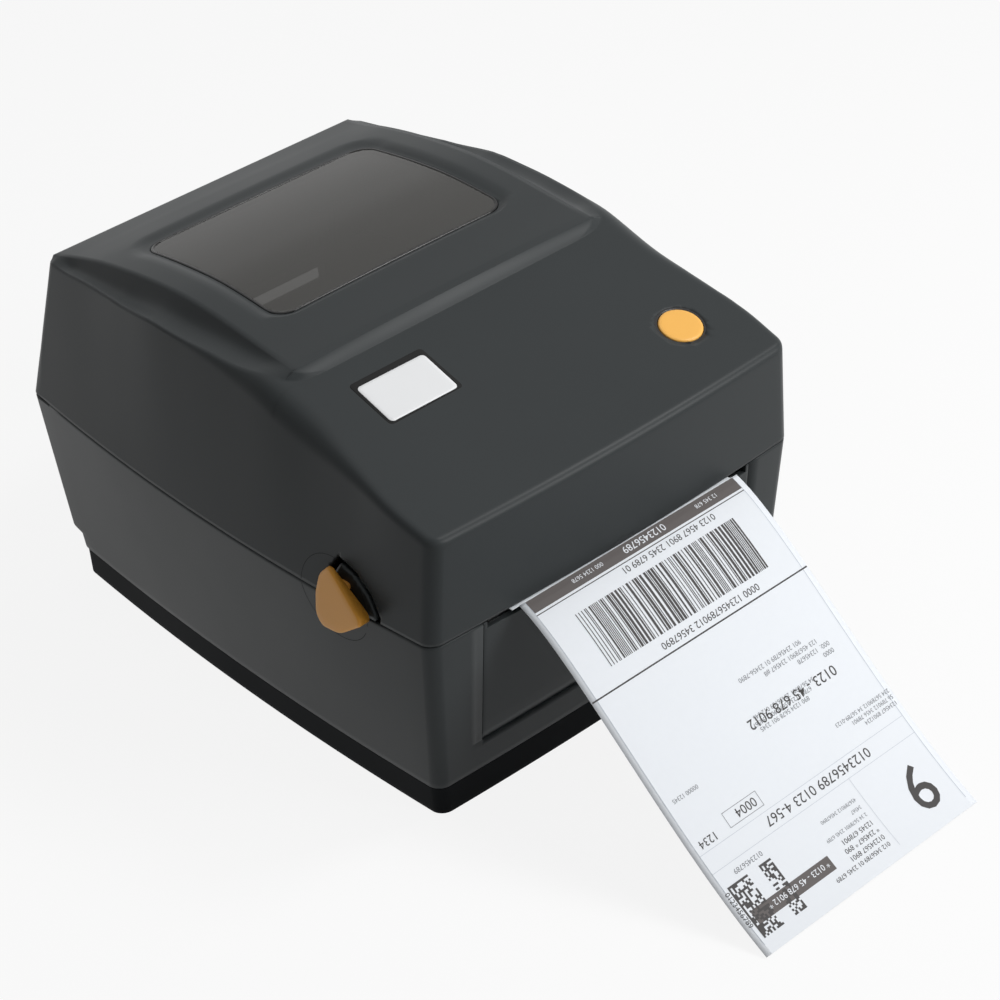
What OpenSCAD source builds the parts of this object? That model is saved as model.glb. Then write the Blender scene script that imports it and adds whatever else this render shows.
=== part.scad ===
// Thermal label printer: a two-part housing whose cover swings up at the rear over a roll of
// labels, a print head, a geared platen, sliding roll guides and a pair of release levers.
// Frame: x to the right and y to the back as seen from the front, z up, floor at z = 0.

/* [Housing] */
// Width of the body at its widest, at the seam
body_w = 184.4; // [182:0.2:188]
// Width at the front corners, at the seam
front_w = 172.8; // [171:0.2:176]
// Width at the rear corners, at the seam
rear_w = 170.4; // [169:0.2:174]
// Depth between the front and rear corners
body_d = 239.4; // [239:0.2:242]
// How far the middle of the front stands proud of its corners
front_bow = 2.8; // [1.5:0.1:3.5]
// Radius of the four upright corners
corner_r = 14; // [10:1:18]
// Height of the seam between base and cover
seam_z = 81; // [80.5:0.1:82]
// Open gap at the seam
seam_gap = 0.6; // [0.4:0.1:0.8]
// Wall thickness of both shells
wall = 2.6; // [2:0.1:2.8]

/* [Base] */
// Height of the rubber feet below the chassis
foot_h = 1; // [0.8:0.1:1.5]
// Radius of a rubber foot
foot_r = 8; // [6:1:10]
// Height of the line between chassis and lower housing
chassis_z = 12; // [11.5:0.1:12.5]
// Floor thickness of the chassis
floor_t = 3; // [2.5:0.1:3.2]
// Width of the base at its widest, at the chassis line
base_w = 172; // [170:1:174]
// Step inwards from the lower housing to the chassis
skirt_step = 1; // [0.5:0.1:1.5]
// Lean of the front face, from the chassis line to the seam
front_lean = 9.5; // [8:0.1:10]
// Height at which the rear wall steps back over the sockets
rear_step_z = 20; // [18:0.5:21]
// Half width of the front bezel
bezel_half = 64; // [63.6:0.1:66]
// Height of the bezel's lower edge
bezel_z = 26; // [22:1:30]
// Joint line between the bezel and the housing
panel_gap = 0.3; // [0.2:0.05:0.5]

/* [Cover] */
// Height of the deck at the front edge
deck_front_z = 124; // [122:0.5:126]
// Slope of the front deck, degrees
deck_angle = 16; // [15:0.2:17]
// Radius of the front edge
front_edge_r = 4.5; // [3:0.5:6]
// Height of the side rims where the deck ends
rim_z = 143.8; // [142.5:0.1:145]
// Fall of the side rims towards the rear, per mm of depth
rim_fall = 0.032; // [0.025:0.001:0.04]
// Distance of the rear top edge in front of the rear corners
rear_rake = 11.7; // [11:0.1:13]
// Crown of the plateau at the middle
crown = 2.2; // [1:0.1:3]
// Half width of the window at its front
window_front = 50.6; // [48:0.2:52]
// Half width of the window at its rear
window_rear = 48.2; // [46:0.2:50]
// Front edge of the window
window_y0 = -6.3; // [-8:0.1:-4]
// Rear edge of the window
window_y1 = 74.6; // [70:0.2:78]
// Ledge that carries the window
window_ledge = 3; // [2:0.1:3.5]
// Thickness of the window
window_t = 1.4; // [1:0.1:1.6]

/* [Feed button] */
// Place of the feed button across the body
button_x = 57.8; // [52:0.2:60]
// Place of the feed button along the body
button_y = -94.7; // [-98:0.1:-90]
// Radius of the feed button
button_r = 8.2; // [7:0.1:9]
// Outer radius of the ring round the button
ring_r = 10; // [9.6:0.1:11]
// Travel of the feed button
button_travel = 1.2; // [0.6:0.1:1.5]

/* [Labels] */
// Width of the label and its liner
label_w = 105.2; // [100:0.2:106]
// Thickness of label and liner together
label_t = 0.3; // [0.2:0.05:0.4]
// Radius of the roll of labels
roll_r = 50; // [40:1:52]
// Outer radius of the roll's core
core_r = 19; // [17:0.5:22]
// Bore of the roll's core
core_bore = 12.7; // [11:0.1:14]
// Centre of the roll along the body
roll_y = 20; // [18:0.5:22]
// Height of the roll's centre
roll_z = 70; // [69.5:0.1:71]
// How far the printed label reaches in front of the body's middle
label_reach = 238; // [225:1:245]
// Height of the printed label's free end
label_end_z = 0.8; // [0.6:0.1:2]

/* [Print mechanism] */
// Radius of the rubber platen
platen_r = 7; // [6:0.1:7.2]
// Radius of the platen shaft
platen_shaft_r = 3; // [2.5:0.1:3.5]
// Distance of the platen behind the front corners
platen_back = 11.7; // [11.5:0.1:12.5]
// Height of the platen's top below the seam
platen_drop = 1; // [0.9:0.05:1.2]
// Half distance between the inner faces of the side frames
frame_half = 60.5; // [59.5:0.1:61]
// Thickness of a side frame
frame_t = 3; // [2.5:0.1:3.2]
// Gear module
gear_m = 1; // [0.98:0.01:1]
// Teeth on the platen gear
platen_teeth = 16; // [15:1:16]
// Teeth on the idler gear
idler_teeth = 34; // [33:1:35]
// Teeth on the motor pinion
pinion_teeth = 12; // [11:1:13]
// Width of the gears
gear_w = 5; // [4:0.5:5.5]
// Edge length of the stepper motor
motor_size = 35; // [33:1:35]
// Length of the stepper motor
motor_len = 26; // [20:1:30]
// Running clearance of shafts in their bores
run_gap = 0.06; // [0.03:0.01:0.09]

/* [Release latch] */
// Distance of the latch shaft behind the front corners
latch_back = 55.7; // [55:0.1:56.5]
// Height of the latch shaft
latch_z = 40; // [39.5:0.1:40.5]
// Radius of the latch shaft
latch_shaft_r = 3; // [2.5:0.1:3.2]
// Forward swing of the levers, degrees
latch_swing = 10; // [6:1:10]
// Thickness of a finger lever outside the housing
fin_t = 7; // [5:0.5:8]

/* [Hinge] */
// Distance of the hinge line in front of the rear corners
hinge_in = 3.2; // [3:0.1:3.4]
// Height of the hinge line above the seam
hinge_up = 3.5; // [3.3:0.1:3.7]
// Radius of the hinge pins
hinge_pin_r = 1.6; // [1.4:0.1:2]
// Radius of the hinge knuckles
knuckle_r = 4; // [3.6:0.1:4]
// Place of each hinge across the body
hinge_x = 58; // [54:0.5:60]

/* [Roll guides] */
// Free space between each guide and the roll
guide_gap = 0.4; // [0.3:0.1:0.6]
// Thickness of a roll guide
guide_t = 3; // [2.5:0.1:3.5]
// Travel of each guide away from the roll
guide_travel = 6; // [4:0.5:6]

/* [Hidden] */
$fn = 48;

y_front = -body_d / 2;
y_rear = body_d / 2;
hinge_y = y_rear - hinge_in;
hinge_z = seam_z + hinge_up;
knuckle_back = hinge_y + knuckle_r;
// The frame's origin lies under the middle of the whole part, label included
shift_y = (label_reach - knuckle_back) / 2;

cover_z = seam_z + seam_gap / 2;
base_z = seam_z - seam_gap / 2;
floor_z = foot_h + floor_t;
bay_z = chassis_z + 2;

module in_place() { translate([0, shift_y, 0]) children(); }
module both_sides() { children(); mirror([1, 0, 0]) children(); }
// Extrudes a drawing of the y-z plane along x, from x0 for the given length
module along_x(x0, len) {
    translate([x0, 0, 0]) rotate([90, 0, 90]) linear_extrude(len) children();
}
module rod_x(x0, len, r, y, z) { along_x(x0, len) translate([y, z]) circle(r); }

// ---- Outline of the body ----

function lerp(a, b, k) = a + (b - a) * k;
// Half width at depth y: a parabola through the front, middle and rear half widths
function side_w(y, wf, wm, wr) = let(u = (y - y_front) / body_d)
    wf * (1 - u) * (1 - 2 * u) + 4 * wm * u * (1 - u) + wr * u * (2 * u - 1);
// Set-back of a quarter round of radius r at distance e from its end
function round_in(e, r) = e >= r ? 0 : r - sqrt(max(0, r * r - (r - e) * (r - e)));
function half_w(y, y0, y1, wf, wm, wr, r) = side_w(y, wf, wm, wr) - round_in(min(y - y0, y1 - y), r);
// Depths of the sections: close together round the corners, even between them
function arc_steps(y0, r, s) = [for (k = [0:5]) y0 + s * r * (1 - cos(18 * k))];
function stations(y0, y1, r, n) = concat(arc_steps(y0, r, 1),
    [for (k = [1:n - 1]) lerp(y0 + r, y1 - r, k / n)],
    [for (k = [5:-1:0]) arc_steps(y1, r, -1)[k]]);
function front_share(y) = max(0, min(1, 1 - (y - y_front) / 50));
// Bows a point of the front forward, and leans it forward with height above the seam
function bowed(p, lean) = [p.x, p.y - front_share(p.y) * (front_bow
    * (1 - pow(2 * p.x / front_w, 2)) + lean * (p.z - seam_z)), p.z];

// Closed skin through rings of equally many points, each ring counter-clockwise seen from the last
module loft(rings) {
    m = len(rings[0]);
    last = (len(rings) - 1) * m;
    middle = function(ring) ([for (p = ring) 1] * ring) / len(ring);
    polyhedron(
        points = concat([for (ring = rings) each ring], [middle(rings[0]), middle(rings[len(rings) - 1])]),
        faces = concat(
            [for (s = [0:m:last - 1], i = [0:m - 1]) [s + i, s + i + m, s + (i + 1) % m + m]],
            [for (s = [0:m:last - 1], i = [0:m - 1]) [s + i, s + (i + 1) % m + m, s + (i + 1) % m]],
            [for (i = [0:m - 1]) [last + m, i, (i + 1) % m]],
            [for (i = [0:m - 1]) [last + m + 1, last + (i + 1) % m, last + i]]));
}

// ---- Base shell ----

function base_part(z) = (z - chassis_z) / (seam_z - chassis_z);
function base_front(z) = y_front + front_lean * (1 - base_part(z));
// One level of the base at height z, set in by t, with its rear wall at depth y1
function base_ring(z, t, y1) = let(k = base_part(z),
    wf = lerp(base_w - 9, front_w, k) / 2 - t,
    wm = lerp(base_w, body_w, k) / 2 - t,
    wr = lerp(base_w - 10, rear_w, k) / 2 - t,
    y0 = base_front(z) + t, st = stations(y0, y1 - t, corner_r - t, 10), n = len(st),
    half = [for (y = st) half_w(y, y0, y1 - t, wf, wm, wr, corner_r - t)])
    [for (p = concat([for (i = [0:n - 1]) [half[i], st[i], z]],
        [for (i = [n - 1:-1:0]) [-half[i], st[i], z]],
        [for (k = [1:7]) [lerp(-half[0], half[0], k / 8), y0, z]])) bowed(p, 0)];

chassis_rear = y_rear - 13;
housing_rear = y_rear - 5.2;
function rear_at(z) = lerp(housing_rear, y_rear, (z - rear_step_z) / (seam_z - rear_step_z));

module base_outside() {
    loft([base_ring(chassis_z, 0, chassis_rear + skirt_step),
        base_ring(rear_step_z - 1, 0, chassis_rear + skirt_step + 1),
        base_ring(rear_step_z, 0, rear_at(rear_step_z)), base_ring(base_z, 0, rear_at(base_z))]);
}
module base_inside() {
    loft([base_ring(chassis_z - 1, wall, chassis_rear + skirt_step),
        base_ring(rear_step_z + wall - 1, wall, chassis_rear + skirt_step + 1),
        base_ring(rear_step_z + wall, wall, rear_at(rear_step_z)),
        base_ring(seam_z + 2, wall, rear_at(seam_z + 2))]);
}
module base_walls() { difference() { base_outside(); base_inside(); } }
module panel_block(g) {
    translate([-bezel_half - g, y_front - 20, bezel_z - g])
        cube([2 * (bezel_half + g), 45, seam_z - bezel_z + 2 * g]);
}

boss_at = [[-66, -30], [66, -30], [-66, 88], [66, 88]];
module bottom_chassis() in_place() color([0.10, 0.105, 0.11]) {
    difference() {
        loft([base_ring(foot_h, skirt_step + 1.4, chassis_rear - 1.4),
            base_ring(chassis_z, skirt_step, chassis_rear)]);
        loft([base_ring(floor_z, wall + 1, chassis_rear - 1), base_ring(chassis_z + 1, wall + 1, chassis_rear)]);
        for (b = boss_at) translate([b.x, b.y, 0]) {
            cylinder(h = floor_z, r = screw_r + 0.1);
            cylinder(h = foot_h + screw_head_h + 0.2, r = screw_head_r + 0.3);
        }
    }
    for (b = boss_at) translate([b.x, b.y, floor_z])
        difference() { cylinder(h = chassis_z - floor_z, r = 5); cylinder(h = chassis_z, r = screw_r + 0.1); }
}

slot_half = 62.4;
slot_z = seam_z - 3.5;
knuckle_w = 6;
knuckle_gap = 0.3;
ear_w = 5.4;
notch_half = knuckle_w / 2 + knuckle_gap + ear_w + 0.4;
jack_x = -58;
usb_x = -34;
rocker_x = 56;
socket_z = 36;
feed_slot_z = 69;
feed_slot_h = 6;
feed_slot_half = 56;

module lower_housing() in_place() color([0.20, 0.22, 0.225]) difference() {
    base_walls();
    panel_block(panel_gap);
    // The rear wall stops lower, where the cover's rear edge swings down
    translate([-body_w / 2, hinge_y - 3.6, base_z - 1.3]) cube([body_w, 20, 5]);
    translate([-feed_slot_half, y_rear - 20, feed_slot_z]) cube([2 * feed_slot_half, 30, feed_slot_h]);
    translate([jack_x - 7.2, y_rear - 20, socket_z - 7.2]) cube([14.4, 30, 14.4]);
    translate([usb_x - 7.7, y_rear - 20, socket_z - 7.2]) cube([15.4, 30, 14.4]);
    translate([rocker_x - 13.2, y_rear - 20, socket_z - 10.2]) cube([26.4, 30, 20.4]);
}

module front_bezel() in_place() color([0.21, 0.23, 0.235]) difference() {
    intersection() { base_walls(); panel_block(0); }
    translate([-slot_half, y_front - 20, slot_z]) cube([2 * slot_half, 40, 10]);
}

tooth_w = 2.4;
tear_y = y_front + 2.3;
module tear_bar() in_place() color([0.72, 0.73, 0.74]) {
    bar_half = 58.8;
    teeth = floor(2 * bar_half / tooth_w);
    translate([0, tear_y + 0.8, 0]) rotate([90, 0, 0]) linear_extrude(0.8)
        polygon(concat([[-bar_half, seam_z - 7], [bar_half, seam_z - 7]],
            [for (k = [teeth:-1:0]) each [[-bar_half + k * tooth_w, seam_z - 2.4],
                if (k > 0) [-bar_half + (k - 0.5) * tooth_w, seam_z - 1.4]]]));
}

foot_x = 62;
module rubber_feet() in_place() color([0.06, 0.06, 0.06])
    both_sides() for (y = [-88, 84]) translate([foot_x, y, 0]) {
        cylinder(h = foot_h - 0.4, r = foot_r);
        translate([0, 0, foot_h - 0.4]) cylinder(h = 0.4, r = foot_r - 1);
    }

screw_r = 1.5;
screw_head_r = 3;
screw_head_h = 1.8;
module chassis_screws() in_place() color([0.55, 0.55, 0.56])
    for (b = boss_at) translate([b.x, b.y, foot_h + 0.2]) difference() {
        union() {
            cylinder(h = screw_head_h, r = screw_head_r);
            cylinder(h = chassis_z - foot_h - 1, r = screw_r);
        }
        for (a = [0, 90]) rotate(a) translate([-2, -0.35, -1]) cube([4, 0.7, 2]);
    }

// ---- Media bay ----

bay_half = 76;
bay_y0 = -46;
bay_y1 = 102;
module media_bay() in_place() color([0.16, 0.17, 0.175]) {
    translate([-bay_half, bay_y0, chassis_z]) cube([2 * bay_half, bay_y1 - bay_y0, bay_z - chassis_z]);
    both_sides() translate([bay_half - 2, bay_y0, bay_z]) cube([2, bay_y1 - bay_y0, seam_z - 3 - bay_z]);
    translate([2 - bay_half, bay_y1 - 2, bay_z]) cube([2 * bay_half - 4, 2, feed_slot_z - 3 - bay_z]);
    // Boss of the guide pinion
    translate([0, roll_y, bay_z]) cylinder(h = 3, r = pinion_boss_r);
    for (x = [-60, 60], z = [board_z0 + 4, board_z1 - 4]) translate([x, bay_y1, z]) rotate([-90, 0, 0])
        cylinder(h = board_y - bay_y1, r = 3);
}

rail_ys = [roll_y - 20, roll_y + 20];
rail_s = 3;
module guide_rails() in_place() color([0.62, 0.63, 0.64])
    for (y = rail_ys) translate([2 - bay_half, y - rail_s / 2, bay_z]) cube([2 * bay_half - 4, rail_s, rail_s]);

// ---- Side frames, platen and gear train ----

platen_y = y_front + platen_back;
platen_z = seam_z - platen_drop - platen_r;
latch_y = y_front + latch_back;
bush_r = 5;
motor_y = platen_y + 18;
motor_z = platen_z - 43;
sensor_y = platen_y + 20;
sensor_z = platen_z + 1;
sensor_rod_r = 2;
stub_r = 3;
motor_shaft_r = 2.5;
gear_x = -frame_half - frame_t - 1.5 - gear_w;

// Centre of the idler: the third corner of the triangle on the platen and the motor
platen_idler = gear_m * (platen_teeth + idler_teeth) / 2;
idler_pinion = gear_m * (idler_teeth + pinion_teeth) / 2;
train = [motor_y - platen_y, motor_z - platen_z];
train_len = norm(train);
train_u = train / train_len;
along = (pow(platen_idler, 2) - pow(idler_pinion, 2) + pow(train_len, 2)) / (2 * train_len);
aside = sqrt(pow(platen_idler, 2) - along * along);
idler_pos = [platen_y, platen_z] + along * train_u + aside * [-train_u.y, train_u.x];

module frame_outline() polygon([[y_front + 15.7, floor_z], [y_front + 11.2, 20], [y_front + 5.2, seam_z - 15],
    [y_front + 4.9, seam_z - 1.4], [y_front + 20, seam_z - 1.4], [y_front + 36, seam_z - 1.4],
    [latch_y + 8, latch_z + 10], [latch_y + 10, floor_z]]);
module side_frame(x0) along_x(x0, frame_t) difference() {
    frame_outline();
    translate([platen_y, platen_z]) circle(bush_r);
    translate([latch_y, latch_z]) circle(latch_shaft_r + run_gap);
    translate([motor_y, motor_z]) circle(motor_shaft_r + run_gap);
}
module side_frame_left() in_place() color([0.62, 0.63, 0.64]) {
    side_frame(-frame_half - frame_t);
    rod_x(gear_x - 1, gear_w + 2.5, stub_r, idler_pos.x, idler_pos.y);
}
module side_frame_right() in_place() color([0.62, 0.63, 0.64]) side_frame(frame_half);

module platen_bushes() in_place() color([0.75, 0.6, 0.3])
    both_sides() along_x(frame_half, frame_t) translate([platen_y, platen_z]) difference() {
        circle(bush_r);
        circle(platen_shaft_r + run_gap);
    }

module stepper_motor() in_place() color([0.25, 0.25, 0.26])
    along_x(-frame_half, motor_len) translate([motor_y, motor_z]) difference() {
        square(motor_size, center = true);
        circle(motor_shaft_r + run_gap);
        for (a = [45:90:315]) rotate(a) translate([motor_size * 0.707, 0]) circle(4);
    }

module sensor_rail() in_place() color([0.7, 0.7, 0.71])
    rod_x(-frame_half, 2 * frame_half, sensor_rod_r, sensor_y, sensor_z);

sensor_travel = 25;
module gap_sensor() in_place() color([0.12, 0.12, 0.12]) along_x(-8, 16)
    translate([sensor_y, sensor_z]) difference() {
        translate([-6, -4]) square([12, 8]);
        circle(sensor_rod_r + run_gap);
    }

// Involute gear outline with a tooth centred on the first axis
flank_angle = 20;
tooth_play = 0.12;
function involute(x) = (sqrt(max(0, 1 / pow(cos(x), 2) - 1)) - x * PI / 180) * 180 / PI;
function pressure(rb, r) = r <= rb ? 0 : acos(rb / r);
module gear_outline(teeth) {
    rp = gear_m * teeth / 2;
    rb = rp * cos(flank_angle);
    half = 90 / teeth - tooth_play / rp * 90 / PI + involute(flank_angle);
    radii = [rp - 1.15 * gear_m, for (k = [0:4]) lerp(max(rb, rp - 0.9 * gear_m), rp + 0.7 * gear_m, k / 4)];
    polygon([for (t = [0:teeth - 1]) each concat(
        [for (r = radii) let(a = t * 360 / teeth - half + involute(pressure(rb, r))) r * [cos(a), sin(a)]],
        [for (k = [5:-1:0]) let(r = radii[k], a = t * 360 / teeth + half - involute(pressure(rb, r)))
            r * [cos(a), sin(a)]])]);
}
module gear_x_axis(teeth, pos, turn, bore) along_x(gear_x, gear_w) translate(pos) difference() {
    rotate(turn) gear_outline(teeth);
    circle(bore);
}

function bearing(a, b) = atan2(b.y - a.y, b.x - a.x);
platen_pos = [platen_y, platen_z];
motor_pos = [motor_y, motor_z];
platen_turn = bearing(platen_pos, idler_pos);
idler_turn = platen_turn + 180 + 180 / idler_teeth;
to_motor = bearing(idler_pos, motor_pos);
idler_lead = to_motor - idler_turn;
pinion_turn = to_motor + 180 + 180 / pinion_teeth + idler_lead * idler_teeth / pinion_teeth;

module platen_shaft() in_place() color([0.75, 0.76, 0.77])
    rod_x(gear_x - 2, frame_half + frame_t - gear_x + 4, platen_shaft_r, platen_y, platen_z);
module platen_rubber() in_place() color([0.08, 0.08, 0.08]) along_x(-label_w / 2 - 3, label_w + 6)
    translate(platen_pos) difference() { circle(platen_r); circle(platen_shaft_r); }
module platen_gear() in_place() color([0.9, 0.88, 0.8])
    gear_x_axis(platen_teeth, platen_pos, platen_turn, platen_shaft_r);
module idler_gear() in_place() color([0.9, 0.88, 0.8])
    gear_x_axis(idler_teeth, idler_pos, idler_turn, stub_r + run_gap);
module motor_pinion() in_place() color([0.8, 0.7, 0.35]) {
    gear_x_axis(pinion_teeth, motor_pos, pinion_turn, motor_shaft_r);
    rod_x(gear_x - 1, gear_w + 12, motor_shaft_r, motor_y, motor_z);
}

// ---- Rear board and sockets ----

board_y = 104;
board_z0 = 23;
board_z1 = 62;
module main_board() in_place() color([0.05, 0.3, 0.15])
    translate([-70, board_y, board_z0]) cube([140, 1.6, board_z1 - board_z0]);
module board_parts() in_place() color([0.07, 0.07, 0.07]) {
    for (b = [[-12, 30, 14, 14], [12, 30, 18, 12], [14, 50, 12, 8], [-62, 50, 20, 6], [-30, 52, 26, 7]])
        translate([b[0], board_y + 1.6, b[1]]) cube([b[2], 1.8, b[3]]);
}
socket_y = board_y + 1.6;
socket_face = y_rear - 3.6;
module power_jack() in_place() color([0.05, 0.05, 0.05])
    translate([jack_x, socket_y, socket_z]) rotate([-90, 0, 0]) {
        difference() {
            translate([-7, -7, 0]) cube([14, 14, socket_face - socket_y]);
            translate([0, 0, 2]) cylinder(h = 20, r = 3.2);
        }
        cylinder(h = socket_face - socket_y - 1, r = 1);
    }
module usb_port() in_place() color([0.7, 0.7, 0.72])
    translate([usb_x - 7.5, socket_y, socket_z - 7]) difference() {
        cube([15, socket_face - socket_y, 14]);
        translate([2.9, 2, 2.6]) cube([9.2, 20, 8.8]);
    }
rocker_y = y_rear - 7;
module switch_frame() in_place() color([0.06, 0.06, 0.06]) difference() {
    translate([rocker_x - 13, socket_y, socket_z - 10]) cube([26, socket_face - socket_y, 20]);
    translate([rocker_x - 9, socket_y + 1.5, socket_z - 8]) cube([18, 20, 16]);
    rod_x(rocker_x - 11, 22, 1.2 + run_gap, rocker_y, socket_z);
}
rocker_tilt = 7;
module power_rocker() in_place() color([0.1, 0.1, 0.1]) {
    along_x(rocker_x - 8.7, 17.4) translate([rocker_y, socket_z]) rotate(-rocker_tilt)
        polygon([[-2, -3], [2.5, -7], [4.2, -7], [3.4, 0], [4.2, 7], [2.5, 7], [-2, 3]]);
    rod_x(rocker_x - 10.8, 21.6, 1.2, rocker_y, socket_z);
}

// ---- Cover ----

function deck_z(y) = deck_front_z + (y - y_front - 1.7) * tan(deck_angle);
deck_end = y_front + 1.7 + (rim_z + 1 - deck_front_z) / tan(deck_angle);
function rim_at(y) = rim_z - rim_fall * (y - deck_end);
rake_y = y_rear - rear_rake;
rim_rear = rim_at(rake_y);
function full_h(y) = min(deck_z(y), rim_at(y));
function cover_h(y) = max(cover_z + 0.5, min(full_h(y),
    seam_z + (y_rear - y) * (rim_rear - seam_z) / rear_rake) - round_in(y - y_front, front_edge_r));
// Squareness of the shoulders, and how far the sides lean in, from front to rear
function squareness(y) = lookup(y, [[y_front, 15], [-95, 9], [-80, 6.5], [-60, 5.5], [-45, 5.5], [-34, 6.5],
    [-19, 8.5], [-5, 11], [10, 14]]);
function lean_in(y) = lookup(y, [[y_front, 0.036], [-80, 0.07], [-45, 0.1], [-34, 0.09], [-19, 0.1],
    [-5, 0.12], [10, 0.125], [25, 0.145], [y_rear, 0.156]]);
// How far the round of the shoulders would rise above the deck and the rims, which cut it off
function shoulder_rise(y) = lookup(y, [[-80, 0], [-60, 1.5], [-45, 3.5], [-34, 4.5], [-19, 4], [-5, 3.2],
    [10, 1.5], [25, 0]]);
function power(v, e) = sign(v) * pow(abs(v), e);
// One upright section of the cover at depth y, set in by t, from height z0 up
function cover_ring(y, t, z0, y0, y1, steps) = let(n = squareness(y), h = cover_h(y) - t,
    a = half_w(y, y0, y1, front_w / 2 - t, body_w / 2 - t, rear_w / 2 - t, corner_r - t),
    span = max(1, full_h(y) - t - seam_z))
    [for (k = [0:steps]) let(q = 180 - 180 * k / steps,
        z = min(h, z0 + max(0.5, h + shoulder_rise(y) - z0) * power(sin(q), 2 / n)),
        x = a * power(cos(q), 2 / n) * (1 - lean_in(y) * max(0, z - seam_z) / span))
        bowed([x, y, z], 1 / 16)];
module cover_body(t, z0, n, steps) {
    y0 = y_front + t;
    y1 = y_rear - t;
    st = stations(y0, y1, corner_r - t, n);
    m = len(st) - 6;
    loft([for (y = concat([for (i = [0:m]) st[i]], [rake_y], [for (i = [m + 1:len(st) - 1]) st[i]]))
        cover_ring(y, t, z0, y0, y1, steps)]);
}

// The plateau that carries the window
plateau_y0 = deck_end + 0.6;
plateau_mid = 20;
function plateau_z(y) = let(d = y - plateau_mid)
    d < 0 ? rim_z + 6.2 - 0.0005 * d * d - 2.9 * pow(max(0, 1 - (y - plateau_y0) / 6), 1)
          : rim_z + 6.2 - 0.00126 * d * d - 0.0055 * d;
function plateau_w(y) = lookup(y, [[plateau_y0, 61], [plateau_y0 + 2, 66.5], [plateau_y0 + 5.6, 69.6],
    [-17, 69.7], [5, 69.3], [34, 68.3], [71, 67.4], [98, 70.3], [rake_y, 73]]);
function plateau_crown(y) = crown * max(0, min(1, (y - plateau_y0) / 8, (rake_y - y) / 15));
module plateau(t) {
    st = [plateau_y0 + t, plateau_y0 + 2 + t, plateau_y0 + 6 + t / 2, -25, -10, 5, 20, 35, 50, 65, 80, 92,
        rake_y - 6, rake_y - t];
    loft([for (y = st) let(w = plateau_w(y) - t, z = min(plateau_z(y), rim_z + 6.2) - t)
        concat([[-w - 0.8, y, deck_front_z]],
            [for (k = [-4:4]) [w * k / 4, y, z + plateau_crown(y) * (1 - k * k / 16)]],
            [[w + 0.8, y, deck_front_z]])]);
}

module window_block(g) translate([0, 0, deck_front_z]) linear_extrude(60) hull() {
    r = 8;
    both_sides() translate([window_front - r, window_y0 + r]) circle(r + g, $fn = 32);
    both_sides() translate([window_rear - r, window_y1 - r]) circle(r + g, $fn = 32);
}
module on_deck(x, y) translate([x, y, deck_z(y)]) rotate([deck_angle, 0, 0]) children();
module plate_block(g) translate([-57 - g, -73 - g, 120]) cube([33 + 2 * g, 20 + 2 * g, 40]);

catch_y = y_front + 31.7;
catch_z = seam_z + 15;
module top_cover() in_place() color([0.23, 0.25, 0.255]) difference() {
    union() {
        cover_body(0, cover_z, 14, 36);
        plateau(0);
    }
    cover_body(wall, seam_z - 2, 10, 24);
    plateau(wall);
    window_block(0);
    difference() { window_block(window_ledge); plateau(window_t + 0.5); }
    on_deck(button_x, button_y) translate([0, 0, -8]) cylinder(h = 20, r = ring_r + 0.05);
    difference() { plate_block(0.3); cover_body(0.9, cover_z, 14, 36); }
    both_sides() {
        // Opening for the release lever
        along_x(body_w / 2 - 14, 20) polygon([[latch_y - 10.5, seam_z - 1], [latch_y - 10.5, seam_z + 10.5],
            [latch_y - 13, seam_z + 17], [latch_y - 19, seam_z + 16], [latch_y - 27, seam_z + 10],
            [latch_y - 31, seam_z + 5], [latch_y - 31, seam_z - 1]]);
        translate([hinge_x - notch_half, hinge_y - 9, seam_z - 2]) cube([2 * notch_half, 20, hinge_up + 6.8]);
    }
}

module viewing_window() in_place() color([0.3, 0.3, 0.28, 0.5]) intersection() {
    window_block(window_ledge - 0.15);
    difference() { plateau(0.4); plateau(0.4 + window_t); }
}

nameplate_t = 0.5;
module nameplate() in_place() color([0.95, 0.96, 0.97]) intersection() {
    plate_block(0);
    difference() { cover_body(0.35, cover_z, 14, 36); cover_body(0.35 + nameplate_t, cover_z, 14, 36); }
}

cup_h = 8.4;
module button_ring() in_place() color([0.12, 0.12, 0.125]) on_deck(button_x, button_y) difference() {
    translate([0, 0, -cup_h]) cylinder(h = cup_h + 0.35, r = ring_r);
    translate([0, 0, -cup_h - 1]) cylinder(h = cup_h + 4, r = button_r + run_gap + 0.02);
}
module button_board() in_place() color([0.05, 0.3, 0.15]) on_deck(button_x, button_y) {
    translate([0, 0, -cup_h - 1.6]) cylinder(h = 1.6, r = ring_r);
    translate([0, 0, -cup_h]) cylinder(h = 0.6, r = 3);
}
module feed_button() in_place() color([1, 0.66, 0.2]) on_deck(button_x, button_y) {
    translate([0, 0, -4.5]) cylinder(h = 5.2, r = button_r);
    translate([0, 0, 0.7]) cylinder(h = 0.4, r1 = button_r, r2 = button_r - 0.7);
    translate([0, 0, -cup_h + 0.7 + button_travel]) cylinder(h = cup_h - 4 - button_travel, r = 3);
}

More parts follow.
